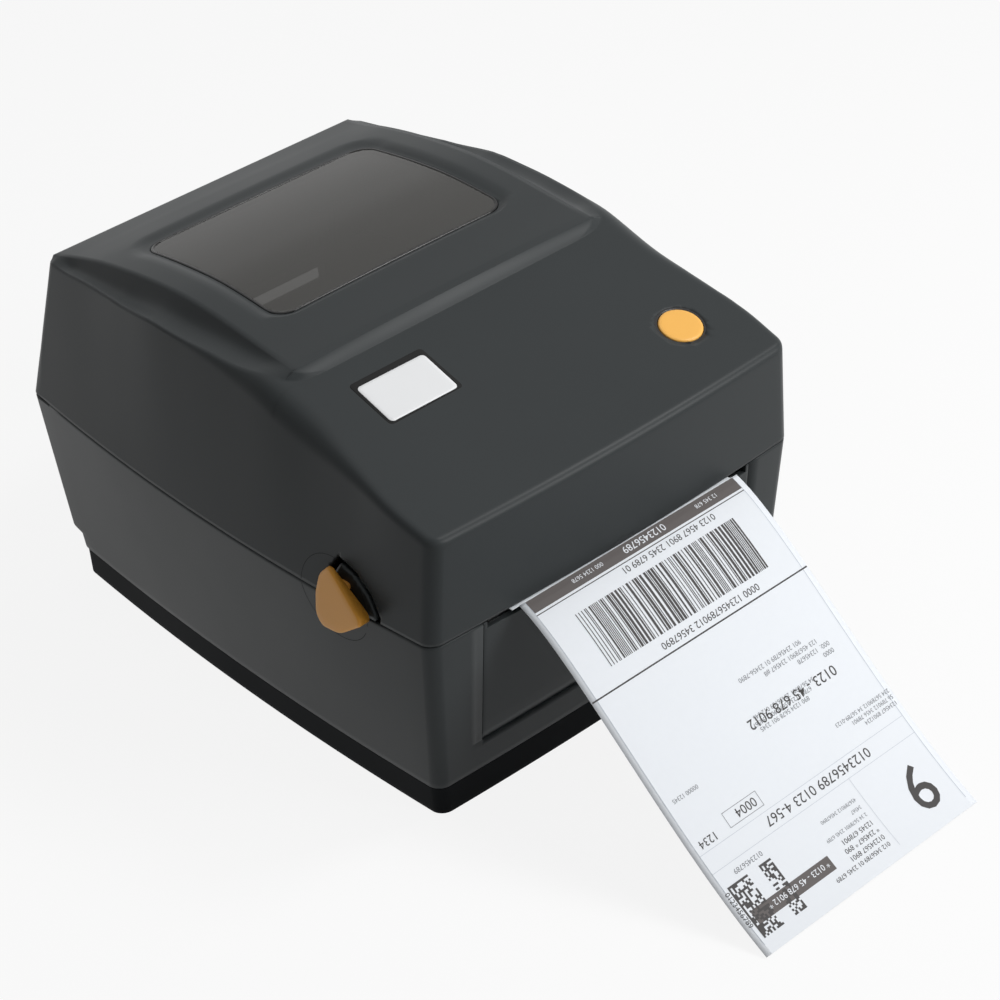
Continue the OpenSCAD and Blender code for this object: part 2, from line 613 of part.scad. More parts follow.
head_tilt = 20;
head_gap = 0.6;
module head_place() translate([0, platen_y - 1.5, platen_z + platen_r + label_t + head_gap])
    rotate([head_tilt, 0, 0]) children();
module thermal_head() in_place() color([0.8, 0.8, 0.78]) head_place() {
    translate([-54, 0, 0]) cube([108, 12, 1.6]);
    translate([-56, 1.5, 1.6]) cube([112, 10.5, 3]);
}
spring_x = 36;
spring_h = 7;
module head_springs() in_place() color([0.7, 0.7, 0.72]) head_place()
    for (x = [-spring_x, spring_x]) translate([x, 7, 4.6]) difference() {
        cylinder(h = spring_h, r = 3.6);
        translate([0, 0, -1]) cylinder(h = spring_h + 2, r = 2.8);
    }
module head_bracket() in_place() color([0.15, 0.16, 0.165]) intersection() {
    head_place() {
        translate([-58, 0, 4.6 + spring_h]) cube([116, 13, 2]);
        for (x = [-56, -4, 48]) translate([x, 0, 6.6 + spring_h]) cube([8, 12, 60]);
    }
    cover_body(wall + 0.02, seam_z - 2, 10, 24);
}

module catch_pins() in_place() color([0.7, 0.71, 0.72]) intersection() {
    both_sides() {
        rod_x(body_w / 2 - 26, 24, 2, catch_y, catch_z);
        rod_x(body_w / 2 - 9.6, 9, 4, catch_y, catch_z);
    }
    cover_body(wall + 0.02, seam_z - 2, 10, 24);
}

rear_slope = atan(rear_rake / (rim_rear - seam_z));
module hinge_ears() in_place() color([0.2, 0.22, 0.225]) both_sides()
    for (x0 = [hinge_x - knuckle_w / 2 - knuckle_gap - ear_w, hinge_x + knuckle_w / 2 + knuckle_gap])
        along_x(x0, ear_w) translate([hinge_y, hinge_z]) difference() {
            union() {
                circle(knuckle_r);
                rotate(rear_slope) translate([-3.4, 0]) square([2.9, 20]);
            }
            circle(hinge_pin_r + run_gap);
        }
module hinge_brackets() in_place() color([0.16, 0.17, 0.175]) both_sides()
    along_x(hinge_x - knuckle_w / 2, knuckle_w) translate([hinge_y, hinge_z]) difference() {
        union() {
            circle(knuckle_r);
            translate([-knuckle_r, -22]) square([2.9, 22]);
        }
        circle(hinge_pin_r);
    }
module hinge_pins() in_place() color([0.75, 0.76, 0.77]) both_sides()
    rod_x(hinge_x - knuckle_w / 2 - knuckle_gap - ear_w, knuckle_w + 2 * (knuckle_gap + ear_w),
        hinge_pin_r, hinge_y, hinge_z);

// ---- Release latch: a shaft with a hook and a finger lever at each end ----

lever_x = 79;
lever_t = 3;
hook_t = 3.2;
neck = [latch_y - 15.5, seam_z + 7.5];
module latch_shaft() in_place() color([0.75, 0.76, 0.77])
    rod_x(-lever_x - lever_t, 2 * (lever_x + lever_t), latch_shaft_r, latch_y, latch_z);
module finger_lever() {
    difference() {
        along_x(lever_x, lever_t) hull() {
            translate([latch_y, latch_z]) circle(6, $fn = 32);
            translate(neck) circle(2.5, $fn = 32);
        }
        rod_x(lever_x - 1, lever_t + 2, latch_shaft_r, latch_y, latch_z);
    }
    along_x(lever_x + lever_t, body_w / 2 - 0.6 - lever_x - lever_t) translate(neck) square(5, center = true);
    fin_x = body_w / 2 - 0.6;
    hull() {
        along_x(fin_x, fin_t - 2) fin_outline(0);
        along_x(fin_x, fin_t) fin_outline(2.2);
    }
}
// Rounded triangle of the finger lever, set in by g
module fin_outline(g) hull() {
    translate([latch_y - 14, seam_z + 15.5]) circle(3.2 - g, $fn = 24);
    translate([latch_y - 29.5, seam_z + 4.5]) circle(3.2 - g, $fn = 24);
    translate([latch_y - 9, seam_z - 4]) circle(3.2 - g, $fn = 24);
    translate([latch_y - 18.5, seam_z - 3]) circle(3.8 - g, $fn = 24);
}
module latch_lever_right() in_place() color([0.85, 0.6, 0.3]) finger_lever();
module latch_lever_left() in_place() color([0.85, 0.6, 0.3]) mirror([1, 0, 0]) finger_lever();
hook_gap = 0.4;
module latch_hooks() in_place() color([0.6, 0.6, 0.61]) both_sides() along_x(lever_x - hook_t, hook_t) {
    nose = catch_y - 2 - hook_gap;
    polygon([[latch_y - 5, latch_z + 1], [nose - 7, catch_z - 4], [nose - 7, catch_z + 6],
        [nose, catch_z + 3], [nose, catch_z + 2], [nose - 2.5, catch_z], [nose - 2.5, catch_z - 4],
        [latch_y + 1, latch_z + 6]]);
    translate([latch_y, latch_z]) difference() { circle(6); circle(latch_shaft_r); }
}

// ---- Roll of labels, its guides and the web ----

module label_roll() in_place() color([0.93, 0.94, 0.96]) along_x(-label_w / 2, label_w)
    translate([roll_y, roll_z]) difference() { circle(roll_r, $fn = 96); circle(core_r); }
module roll_core() in_place() color([0.7, 0.58, 0.42]) along_x(-label_w / 2, label_w)
    translate([roll_y, roll_z]) difference() { circle(core_r); circle(core_bore); }

hub_len = 12;
rack_m = 1;
guide_pinion_teeth = 16;
guide_pinion_r = rack_m * guide_pinion_teeth / 2;
pinion_boss_r = 3;
rack_z = bay_z + 0.2;
rack_h = 3;
rack_len = 66;
// Rack teeth along x, their pitch line on y = 0 and their tips towards +y; a gap lies at x = 0
module rack_outline(x0, x1) {
    pitch = PI * rack_m;
    root = -1.15 * rack_m;
    tip = 0.7 * rack_m;
    half = pitch / 4 - tooth_play / 2;
    first = ceil(x0 / pitch);
    last = floor(x1 / pitch) - 1;
    polygon(concat([[x0, root - 4], [x0, root]],
        [for (k = [first:last]) each [for (s = [[-1, root], [-1, tip], [1, tip], [1, root]])
            [(k + 0.5) * pitch + s[0] * (half - s[1] * tan(flank_angle)), s[1]]]],
        [[x1, root], [x1, root - 4]]));
}
module guide(side) {
    inner = label_w / 2 + guide_gap;
    mirror([side < 0 ? 1 : 0, 0, 0]) {
        rod_x(inner - hub_len, hub_len, core_bore - run_gap, roll_y, roll_z);
        difference() {
            union() {
                along_x(inner, guide_t) hull() {
                    translate([roll_y, roll_z]) circle(26, $fn = 32);
                    translate([roll_y - 25, rack_z]) square([50, 1]);
                }
                translate([inner, roll_y - 25, rack_z]) cube([11, 50, 5]);
            }
            for (y = rail_ys) translate([inner - 1, y - rail_s / 2 - 0.3, 0])
                cube([20, rail_s + 0.6, bay_z + rail_s + 0.4]);
        }
    }
}
module guide_rack(side) translate([0, roll_y, rack_z]) rotate(side > 0 ? 180 : 0)
    translate([0, -guide_pinion_r, 0]) linear_extrude(rack_h)
        rack_outline(-label_w / 2 - guide_gap, rack_len - label_w / 2);
module guide_left() in_place() color([0.18, 0.19, 0.195]) { guide(-1); guide_rack(-1); }
module guide_right() in_place() color([0.18, 0.19, 0.195]) { guide(1); guide_rack(1); }
module guide_pinion() in_place() color([0.85, 0.83, 0.75]) translate([0, roll_y, rack_z])
    linear_extrude(rack_h) difference() {
        rotate(90) gear_outline(guide_pinion_teeth);
        circle(pinion_boss_r + run_gap);
    }

// A sheet of thickness label_t whose underside follows the points of the y-z plane
module sheet(points) along_x(-label_w / 2, label_w) polygon(concat(points,
    [for (k = [len(points) - 1:-1:0]) points[k] + [0, label_t]]));
web_z = platen_z + platen_r + 0.05;
slot_point = [y_front - front_bow, seam_z - 0.35];
// Tangent from the platen's top to the top of the roll
web_gap = 0.4;
from_platen = [roll_y - platen_y - 4, roll_z - web_z];
tangent_len = sqrt(pow(norm(from_platen), 2) - pow(roll_r + web_gap, 2));
tangent_angle = atan2(from_platen.y, from_platen.x) + asin((roll_r + web_gap) / norm(from_platen));
module label_web() in_place() color([0.93, 0.94, 0.96]) sheet([
    [platen_y + 4, web_z + 0.1] + tangent_len * [cos(tangent_angle), sin(tangent_angle)],
    [platen_y + 4, web_z + 0.1], [platen_y, web_z], [y_front, lerp(web_z, slot_point.y, 0.8)], slot_point]);
// The printed label bends down from the slot to the table along a cubic curve
label_points = [slot_point, [-150, 72], [-195, 22], [-label_reach, label_end_z]];
function bezier(p, t) = pow(1 - t, 3) * p[0] + 3 * t * pow(1 - t, 2) * p[1] + 3 * t * t * (1 - t) * p[2]
    + pow(t, 3) * p[3];
module printed_label() in_place() color([0.94, 0.95, 0.97])
    sheet([for (k = [0:16]) bezier(label_points, k / 16)]);

bottom_chassis();
lower_housing();
front_bezel();
tear_bar();
rubber_feet();
chassis_screws();
media_bay();
guide_rails();
side_frame_left();
side_frame_right();
platen_bushes();
stepper_motor();
sensor_rail();
main_board();
board_parts();
power_jack();
usb_port();
switch_frame();
hinge_brackets();
hinge_pins();
label_web();
printed_label();
top_cover();
viewing_window();
button_ring();
button_board();
nameplate();
head_bracket();
thermal_head();
head_springs();
catch_pins();
hinge_ears();
feed_button();
latch_shaft();
latch_lever_left();
latch_lever_right();
latch_hooks();
platen_shaft();
platen_rubber();
platen_gear();
idler_gear();
motor_pinion();
label_roll();
roll_core();
guide_left();
guide_right();
guide_pinion();
gap_sensor();
power_rocker();
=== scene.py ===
"""Thermal label printer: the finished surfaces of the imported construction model.

The shapes are worked out in millimetres in the body's own axes (x right, y back, z up, the
middle of the body over y = 0) and are placed in the frame by in_frame().
"""

import math

import bmesh
import bpy
import numpy as np
from mathutils import Matrix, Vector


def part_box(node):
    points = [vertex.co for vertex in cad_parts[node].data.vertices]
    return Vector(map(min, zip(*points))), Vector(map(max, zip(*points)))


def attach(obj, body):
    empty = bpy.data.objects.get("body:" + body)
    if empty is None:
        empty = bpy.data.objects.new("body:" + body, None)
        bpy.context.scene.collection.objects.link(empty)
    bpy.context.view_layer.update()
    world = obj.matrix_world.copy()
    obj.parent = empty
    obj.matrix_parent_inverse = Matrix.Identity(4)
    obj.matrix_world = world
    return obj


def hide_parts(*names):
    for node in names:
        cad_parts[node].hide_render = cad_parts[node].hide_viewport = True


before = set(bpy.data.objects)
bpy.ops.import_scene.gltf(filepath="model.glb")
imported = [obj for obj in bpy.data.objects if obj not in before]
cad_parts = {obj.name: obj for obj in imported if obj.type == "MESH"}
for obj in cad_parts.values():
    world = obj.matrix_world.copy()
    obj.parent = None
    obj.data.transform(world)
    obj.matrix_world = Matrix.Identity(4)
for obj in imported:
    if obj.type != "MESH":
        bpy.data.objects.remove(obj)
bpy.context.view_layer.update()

bl_info = {
    "name": "Thermal label printer",
    "version": (1, 0, 0),
    "blender": (4, 5, 0),
    "location": "View3D > Sidebar > Printer",
    "description": "Housing, window, levers, printed label and finishes of a thermal label printer",
    "category": "Add Mesh",
}

# ---- Sizes that several pieces share, in millimetres ----

MM = 0.001
BODY_DEPTH = 239.4
Y_FRONT = -BODY_DEPTH / 2
Y_REAR = BODY_DEPTH / 2
SEAM_Z = 81.0
SEAM_HALF_GAP = 0.3
CORNER_R = 5.0
FRONT_EDGE_R = 2.6
SEAM_WIDTHS = (86.4, 92.2, 85.2)
CHASSIS_WIDTHS = (82.6, 87.0, 82.0)
CHASSIS_Z = 12.0
FRONT_BOW = 2.8
BOW_REACH = 50
FRONT_LEAN = 8.6
COVER_LEAN = 1 / 16
HINGE_Y = Y_REAR - 3.2
HINGE_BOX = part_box("hinge_pins")
SHIFT_Y = (HINGE_BOX[0][1] + HINGE_BOX[1][1]) / 2 / MM - HINGE_Y
BUTTON_AT = (57.8, -94.7)
SEAT_AT = (-72.7, 80.9)
SEAT_R = 16.6
SEAT_LINE = 0.24
RAKE_Y = Y_REAR - 11.7
PLATEAU_FRONT = Y_FRONT + 77.5
BAND = 4.5
COVER_FOOT = SEAM_Z + SEAM_HALF_GAP
WINDOW_CORNERS = np.array([(-54.0, -9.5), (54.0, -9.5), (53.4, 74.0), (-53.4, 74.0)])
WINDOW_RADIUS = 8.0
WINDOW_MIDDLE = np.array([0, 34.0])
WINDOW_LEDGE = 2.4
WINDOW_SINK = 1.3


def in_frame(points):
    """Body millimetres to frame metres: move along y by the body's offset, then scale by 0.001."""
    return (np.asarray(points, float) + (0.0, SHIFT_Y, 0.0)) * MM


# ---- Settings ----


def size_setting(name, description, default):
    """A setting in millimetres."""
    return bpy.props.FloatProperty(name=name, description=description + ", mm", default=default)


def colour_setting(name, description, default):
    """A setting that holds a colour as linear light."""
    return bpy.props.FloatVectorProperty(
        name=name, description=description, subtype="COLOR", default=default)


class PrinterSizes(bpy.types.PropertyGroup):
    """Sizes of the printer that a user may change."""

    deck_angle: bpy.props.FloatProperty(
        name="Deck slope", description="Slope of the front deck", default=math.radians(16),
        subtype="ANGLE")
    deck_front: size_setting("Deck height", "Height of the deck at its front edge", 124.0)
    rim_height: size_setting("Rim height", "Height of the side rims at their highest", 148.0)
    plateau_rise: size_setting("Plateau rise", "Rise of the plateau above the rims at its highest", 5.0)
    crown: size_setting("Crown", "Rise of the plateau at the middle", 0.8)
    shell: size_setting("Shell", "Wall thickness of the housing", 2.2)
    label_width: size_setting("Label width", "Width of the label's liner", 105.2)
    label_reach: size_setting("Label reach", "Label's free end in front of the body's middle", 240.5)


class PrinterFinish(bpy.types.PropertyGroup):
    """Colours of the printer's finishes."""

    housing: colour_setting("Housing", "Moulded housing", (0.0330, 0.0375, 0.0390))
    chassis: colour_setting("Chassis", "Moulded underside", (0.0085, 0.0095, 0.0105))
    lever: colour_setting("Lever", "Release levers", (0.80, 0.36, 0.045))
    button: colour_setting("Button", "Feed button", (0.94, 0.50, 0.11))
    paper: colour_setting("Paper", "Label stock", (0.80, 0.83, 0.87))
    ink: colour_setting("Ink", "Print on the label", (0.045, 0.042, 0.042))


# ---- Shape functions ----


def ramp(y, *pairs):
    """Piecewise straight line through (y, value) pairs."""
    return np.interp(y, [p[0] for p in pairs], [p[1] for p in pairs])


def curve(y, *pairs):
    """Smooth line through (y, value) pairs: cubic Hermite pieces with central slopes."""
    at, value = np.array(pairs, float).T
    slope = np.gradient(value, at)
    y = np.clip(y, at[0], at[-1])
    i = np.clip(np.searchsorted(at, y, side="right") - 1, 0, len(at) - 2)
    span = at[i + 1] - at[i]
    t = (y - at[i]) / span
    return ((1 + 2 * t) * (1 - t) ** 2 * value[i] + t * (1 - t) ** 2 * span * slope[i]
            + t * t * (3 - 2 * t) * value[i + 1] - t * t * (1 - t) * span * slope[i + 1])


def smooth_step(t):
    """3 t^2 - 2 t^3, with t held between 0 and 1."""
    t = np.clip(t, 0, 1)
    return t * t * (3 - 2 * t)


def soft_min(a, b, k):
    """-k ln(e^(-a/k) + e^(-b/k)): the lower of a and b with a corner about k wide."""
    low = np.minimum(a, b)
    return low - k * np.log(np.exp(-(a - low) / k) + np.exp(-(b - low) / k))


def round_in(e, r):
    """Set-back r - sqrt(r^2 - (r - e)^2) of a quarter round at distance e from its end."""
    e = np.clip(e, 0, r)
    return r - np.sqrt(np.maximum(0, r * r - (r - e) ** 2))


def side_half(y, widths):
    """Half width at depth y: the parabola through the front, middle and rear half widths."""
    u = (y - Y_FRONT) / BODY_DEPTH
    front, middle, rear = widths
    return front * (1 - u) * (1 - 2 * u) + 4 * middle * u * (1 - u) + rear * u * (2 * u - 1)


def bowed(points, lean):
    """Moves y forward by share (bow (1 - (x / front half width)^2) + lean (z - seam)).

    The share falls from 1 at the front to 0 at BOW_REACH behind it.
    """
    x, y, z = points[..., 0], points[..., 1], points[..., 2]
    share = np.clip(1 - (y - Y_FRONT) / BOW_REACH, 0, 1)
    out = points.copy()
    out[..., 1] = y - share * (FRONT_BOW * (1 - (x / SEAM_WIDTHS[0]) ** 2) + lean * (z - SEAM_Z))
    return out


def deck_z(y):
    """Height of the deck: a straight slope up from the front edge."""
    s = bpy.context.scene.printer_sizes
    return s.deck_front + (y - Y_FRONT - 1.7) * math.tan(s.deck_angle)


def full_height(y):
    """The lower of the deck's slope and the rims' long arc down to the rear, softly joined."""
    s = bpy.context.scene.printer_sizes
    fall = curve(y, (-60, -0.3), (8, 0), (31, 1), (52, 3.4), (75, 5.7), (98, 8), (108, 9))
    return soft_min(deck_z(y), s.rim_height - fall, 0.8)


def edge_radius(y):
    """Radius of the round between side and top: sharp at the front and rear, broad before the rims."""
    return curve(y, (Y_FRONT, 2.6), (-92, 3.2), (-75, 5.5), (-60, 8.5), (-42, 9), (-25, 7), (-10, 4),
                 (5, 1.8), (Y_REAR, 1.8))


def lean_in(y):
    """Share of the half width that a side loses between the seam and its top."""
    return curve(y, (Y_FRONT, 0.036), (-100, 0.045), (-80, 0.075), (-60, 0.095), (-40, 0.10),
                 (-20, 0.105), (8, 0.104), (31, 0.1015), (52, 0.113), (75, 0.127), (98, 0.133),
                 (Y_REAR, 0.14))


def rim_x(y):
    """Half width of the rim's outer edge, which turns in round the front band's corner."""
    return curve(y, (-42.5, 60), (-41.5, 66.7), (-39, 72.6), (-35, 75.4), (-31, 77.3), (-21, 80),
                 (-4, 81.6), (8, 82.4), (31, 82.3), (52, 80.5), (75, 77.8), (98, 75.8), (108, 74.3))


def plateau_x(y):
    """Half width of the plateau, with a corner of radius 1.5 where the front band ends."""
    line = curve(y, (-37.7, 69.8), (60, 69.8), (98, 70.6), (RAKE_Y, 71.6))
    inner = line - round_in(y - PLATEAU_FRONT - BAND, 1.5)
    return np.where(y < PLATEAU_FRONT + BAND, rim_x(y) - 3.5 + 0 * y, inner)


def plateau_z(y):
    """Height of the plateau's edge along its long arc, highest at y = 25."""
    s = bpy.context.scene.printer_sizes
    fall = curve(y, (-37.7, 4.2), (-24, 3.1), (-7, 1.5), (10, 0.3), (25, 0), (40, 0.9), (60, 3.2),
                 (80, 6.7), (98, 11.1), (108, 13.4))
    return s.rim_height + s.plateau_rise - fall


def polygon_distance(x, y, corners, radius, grow=0.0):
    """Signed distance to a rounded convex polygon: that to its core, less its radius and grow."""
    n = len(corners)
    normals = []
    for i in range(n):
        a, b = corners[i], corners[(i + 1) % n]
        t = (b - a) / np.linalg.norm(b - a)
        normals.append(np.array([t[1], -t[0]]))
    core = []
    for i in range(n):
        m, k, b = normals[i - 1], normals[i], corners[i]
        core.append(np.linalg.solve(np.array([m, k]), [m @ b - radius, k @ b - radius]))
    nearest = np.full(np.shape(x), 1e9)
    inside = np.full(np.shape(x), -1e9)
    for i in range(n):
        edge = core[(i + 1) % n] - core[i]
        rel_x, rel_y = x - core[i][0], y - core[i][1]
        t = np.clip((rel_x * edge[0] + rel_y * edge[1]) / (edge @ edge), 0, 1)
        nearest = np.minimum(nearest, np.hypot(rel_x - t * edge[0], rel_y - t * edge[1]))
        inside = np.maximum(inside, rel_x * normals[i][0] + rel_y * normals[i][1])
    return np.where(inside > 0, nearest, np.maximum(inside, -nearest)) - radius - grow


def top_z(x, y):
    """Height of the deck at (x, y), read off the section's own outline."""
    curve_x, curve_z, _ = cover_curves(np.reshape(y, (-1, 1)))
    return heights(np.abs(np.ravel(x)), curve_x, curve_z).reshape(np.shape(x))


# ---- Mesh helpers ----


def cell_faces(rows, columns, closed=False):
    """Quads of a grid of points; closed joins the last column to the first."""
    index = np.arange(rows * columns).reshape(rows, columns)
    if closed:
        index = np.concatenate([index, index[:, :1]], axis=1)
    corners = [index[:-1, :-1], index[:-1, 1:], index[1:, 1:], index[1:, :-1]]
    return np.stack(corners, -1).reshape(-1, 4)


def cell_middles(points):
    """Middles of the cells between closed rings of points."""
    middle = (points[:-1] + points[1:]) / 2
    return (middle + np.roll(middle, -1, axis=1)) / 2


def laid_on(height, ring, rise):
    """A flat ring laid at rise over the surface height(x, y)."""
    return np.stack([ring[:, 0], ring[:, 1], height(ring[:, 0], ring[:, 1]) + rise], -1)


def new_piece(name, points, faces, smooth=True, recalculate=True):
    """A mesh object at the origin from body millimetres, loose points dropped and doubles merged."""
    mesh = bpy.data.meshes.new(name)
    placed = in_frame(np.reshape(points, (-1, 3))).tolist()
    mesh.from_pydata(placed, [], [list(map(int, f)) for f in faces])
    work = bmesh.new()
    work.from_mesh(mesh)
    bmesh.ops.remove_doubles(work, verts=work.verts, dist=2e-6)
    bmesh.ops.delete(work, geom=[v for v in work.verts if not v.link_faces], context="VERTS")
    if recalculate:
        bmesh.ops.recalc_face_normals(work, faces=work.faces)
    work.to_mesh(mesh)
    work.free()
    mesh.polygons.foreach_set("use_smooth", [smooth] * len(mesh.polygons))
    piece = bpy.data.objects.new(name, mesh)
    bpy.context.scene.collection.objects.link(piece)
    return piece


def lofted(name, rings, caps=(True, True)):
    """Skin through rings of equally many points, with a fan to the middle of each capped end."""
    rings = np.asarray(rings, float)
    rows, columns = rings.shape[:2]
    faces = cell_faces(rows, columns, closed=True).tolist()
    points = rings.reshape(-1, 3).tolist()
    for end, first in ((0, 0), (1, (rows - 1) * columns)):
        if caps[end]:
            middle = len(points)
            points.append(rings[-1 if end else 0].mean(axis=0).tolist())
            faces += [[middle, first + i, first + (i + 1) % columns] for i in range(columns)]
    return new_piece(name, np.array(points), faces)


def cut_grid(points, keep, distance, axes, where):
    """Drops the cells where distance(u, v) < 0 at their middles and slides the rim onto the contour.

    Only cells that where(middles) allows are dropped. The rim moves by -d grad d in the two axes, and
    keep, the mask of cells, is returned changed.
    """
    cells = (points[:-1, :-1] + points[1:, :-1] + points[:-1, 1:] + points[1:, 1:]) / 4
    inside = (distance(cells[..., axes[0]], cells[..., axes[1]]) < 0) & where(cells)
    dropped = keep & inside
    keep = keep & ~inside
    touched = np.zeros(points.shape[:2], bool)
    kept_touch = np.zeros(points.shape[:2], bool)
    for di in (0, 1):
        for dj in (0, 1):
            view = (slice(di, di + dropped.shape[0]), slice(dj, dj + dropped.shape[1]))
            touched[view] |= dropped
            kept_touch[view] |= keep
    rim = touched & kept_touch
    step = 0.05
    for _ in range(3):
        u, v = points[..., axes[0]], points[..., axes[1]]
        d = distance(u, v)
        gu = (distance(u + step, v) - d) / step
        gv = (distance(u, v + step) - d) / step
        size = np.maximum(gu * gu + gv * gv, 1e-6)
        points[..., axes[0]] = np.where(rim, u - d * gu / size, u)
        points[..., axes[1]] = np.where(rim, v - d * gv / size, v)
    return keep


def solidify(piece, thickness, offset=-1.0):
    """Gives an open skin its wall, inwards by default."""
    wall = piece.modifiers.new("wall", "SOLIDIFY")
    wall.thickness = thickness * MM
    wall.offset = offset
    wall.use_even_offset = False


def bevel(piece, width):
    """Rounds the edges that are sharper than 35 degrees."""
    round_edges = piece.modifiers.new("edges", "BEVEL")
    round_edges.width = width * MM
    round_edges.segments = 2
    round_edges.limit_method = "ANGLE"
    round_edges.angle_limit = math.radians(35)


def rounded_polygon(corners, radii, per_corner=8, per_side=6):
    """Points round a convex polygon, counter-clockwise: an arc of the given radius at each corner."""
    corners = np.asarray(corners, float)
    n = len(corners)
    arcs = []
    for i in range(n):
        before, here, after = corners[i - 1], corners[i], corners[(i + 1) % n]
        d0 = (here - before) / np.linalg.norm(here - before)
        d1 = (after - here) / np.linalg.norm(after - here)
        turn = math.atan2(d0[0] * d1[1] - d0[1] * d1[0], d0 @ d1)
        reach = radii[i] * math.tan(turn / 2)
        start = math.atan2(-d0[0], d0[1])
        centre = here - d0 * reach + radii[i] * np.array([-d0[1], d0[0]])
        angles = start + np.linspace(0, turn, per_corner)
        arcs.append(centre + radii[i] * np.stack([np.cos(angles), np.sin(angles)], -1))
    out = []
    for i in range(n):
        out.append(arcs[i])
        gap = np.linspace(0, 1, per_side + 2)[1:-1, None]
        out.append(arcs[i][-1] * (1 - gap) + arcs[(i + 1) % n][0] * gap)
    return np.concatenate(out)


def tilted(x, y, z, tilt, origin):
    """Points turned by tilt about the x axis and moved to origin."""
    c, s = math.cos(tilt), math.sin(tilt)
    return np.stack([x + origin[0], y * c - z * s + origin[1], y * s + z * c + origin[2]], -1)


def lathe(name, profile, origin, tilt, steps=72):
    """Turns a profile of (radius, height) about an axis through origin, tilted by tilt about x."""
    profile = np.asarray(profile, float)
    angle = np.arange(steps) * 2 * math.pi / steps
    x = profile[:, :1] * np.cos(angle)
    y = profile[:, :1] * np.sin(angle)
    rings = tilted(x, y, np.repeat(profile[:, 1:], steps, axis=1), tilt, origin)
    return lofted(name, rings, (profile[0, 0] > 0, profile[-1, 0] > 0))


# ---- Materials ----


def add_node(tree, kind, values=(), **settings):
    """A new shader node of that kind with its settings and the values on its sockets."""
    node = tree.nodes.new("ShaderNode" + kind)
    for name, value in settings.items():
        setattr(node, name, value)
    for socket, value in dict(values).items():
        node.inputs[socket].default_value = value
    return node


def new_material(name, colour, roughness, metallic=0.0, specular=0.5):
    """A material with fixed values on its principled shader, its tree and that shader."""
    material = bpy.data.materials.new(name)
    material.use_nodes = True
    shader = material.node_tree.nodes["Principled BSDF"]
    shader.inputs["Base Color"].default_value = (*colour, 1)
    shader.inputs["Roughness"].default_value = roughness
    shader.inputs["Metallic"].default_value = metallic
    shader.inputs["Specular IOR Level"].default_value = specular
    return material, material.node_tree, shader


def object_noise(tree, scale, detail=2.0):
    """The factor of a noise at that scale per metre, fixed to the object."""
    where = add_node(tree, "TexCoord")
    noise = add_node(tree, "TexNoise", {"Scale": scale, "Detail": detail})
    tree.links.new(where.outputs["Object"], noise.inputs["Vector"])
    return noise.outputs["Fac"]


def add_bump(tree, shader, height, strength, depth):
    """Bump from a height socket; depth in metres."""
    bump = add_node(tree, "Bump", {"Strength": strength, "Distance": depth})
    tree.links.new(height, bump.inputs["Height"])
    tree.links.new(bump.outputs["Normal"], shader.inputs["Normal"])


def vary_gloss(tree, shader, source, low, high):
    """Spreads the shader's roughness between low and high with the source."""
    limits = {"From Min": 0.3, "From Max": 0.7, "To Min": low, "To Max": high}
    spread = add_node(tree, "MapRange", limits)
    tree.links.new(source, spread.inputs["Value"])
    tree.links.new(spread.outputs["Result"], shader.inputs["Roughness"])


def vary_colour(tree, shader, source, low, high):
    """Mixes the shader's colour between low and high with the source."""
    mix = add_node(tree, "Mix", data_type="RGBA")
    mix.inputs["A"].default_value = (*low, 1)
    mix.inputs["B"].default_value = (*high, 1)
    tree.links.new(source, mix.inputs["Factor"])
    tree.links.new(mix.outputs["Result"], shader.inputs["Base Color"])


def scaled(colour, factor):
    """A colour times a factor."""
    return [c * factor for c in colour]


def moulded(name, colour, roughness, grain=2600.0, depth=6e-6, specular=0.28):
    """Moulded plastic: spark-eroded grain, slow drift of gloss, slightly lighter and darker clouds."""
    material, tree, shader = new_material(name, colour, roughness, specular=specular)
    add_bump(tree, shader, object_noise(tree, grain), 0.5, depth)
    clouds = object_noise(tree, 14.0, 3.0)
    vary_gloss(tree, shader, clouds, roughness - 0.03, roughness + 0.03)
    vary_colour(tree, shader, clouds, scaled(colour, 0.93), scaled(colour, 1.07))
    return material


def ground_metal(name, colour, roughness, stretch):
    """Metal with fine scratches drawn out along the axis where stretch is small."""
    material, tree, shader = new_material(name, colour, roughness, metallic=1.0)
    where = add_node(tree, "TexCoord")
    mapping = add_node(tree, "Mapping", {"Scale": stretch})
    noise = add_node(tree, "TexNoise", {"Scale": 900.0})
    tree.links.new(where.outputs["Object"], mapping.inputs["Vector"])
    tree.links.new(mapping.outputs["Vector"], noise.inputs["Vector"])
    scratches = noise.outputs["Fac"]
    vary_gloss(tree, shader, scratches, roughness - 0.08, roughness + 0.08)
    add_bump(tree, shader, scratches, 0.3, 4e-6)
    return material


def paper_stock(name, colour):
    """Coated paper: faint fibre clouds in colour and bump."""
    material, tree, shader = new_material(name, colour, 0.55, specular=0.35)
    fibres = object_noise(tree, 420.0, 4.0)
    add_bump(tree, shader, fibres, 0.5, 8e-6)
    vary_colour(tree, shader, fibres, scaled(colour, 0.985), scaled(colour, 1.01))
    return material


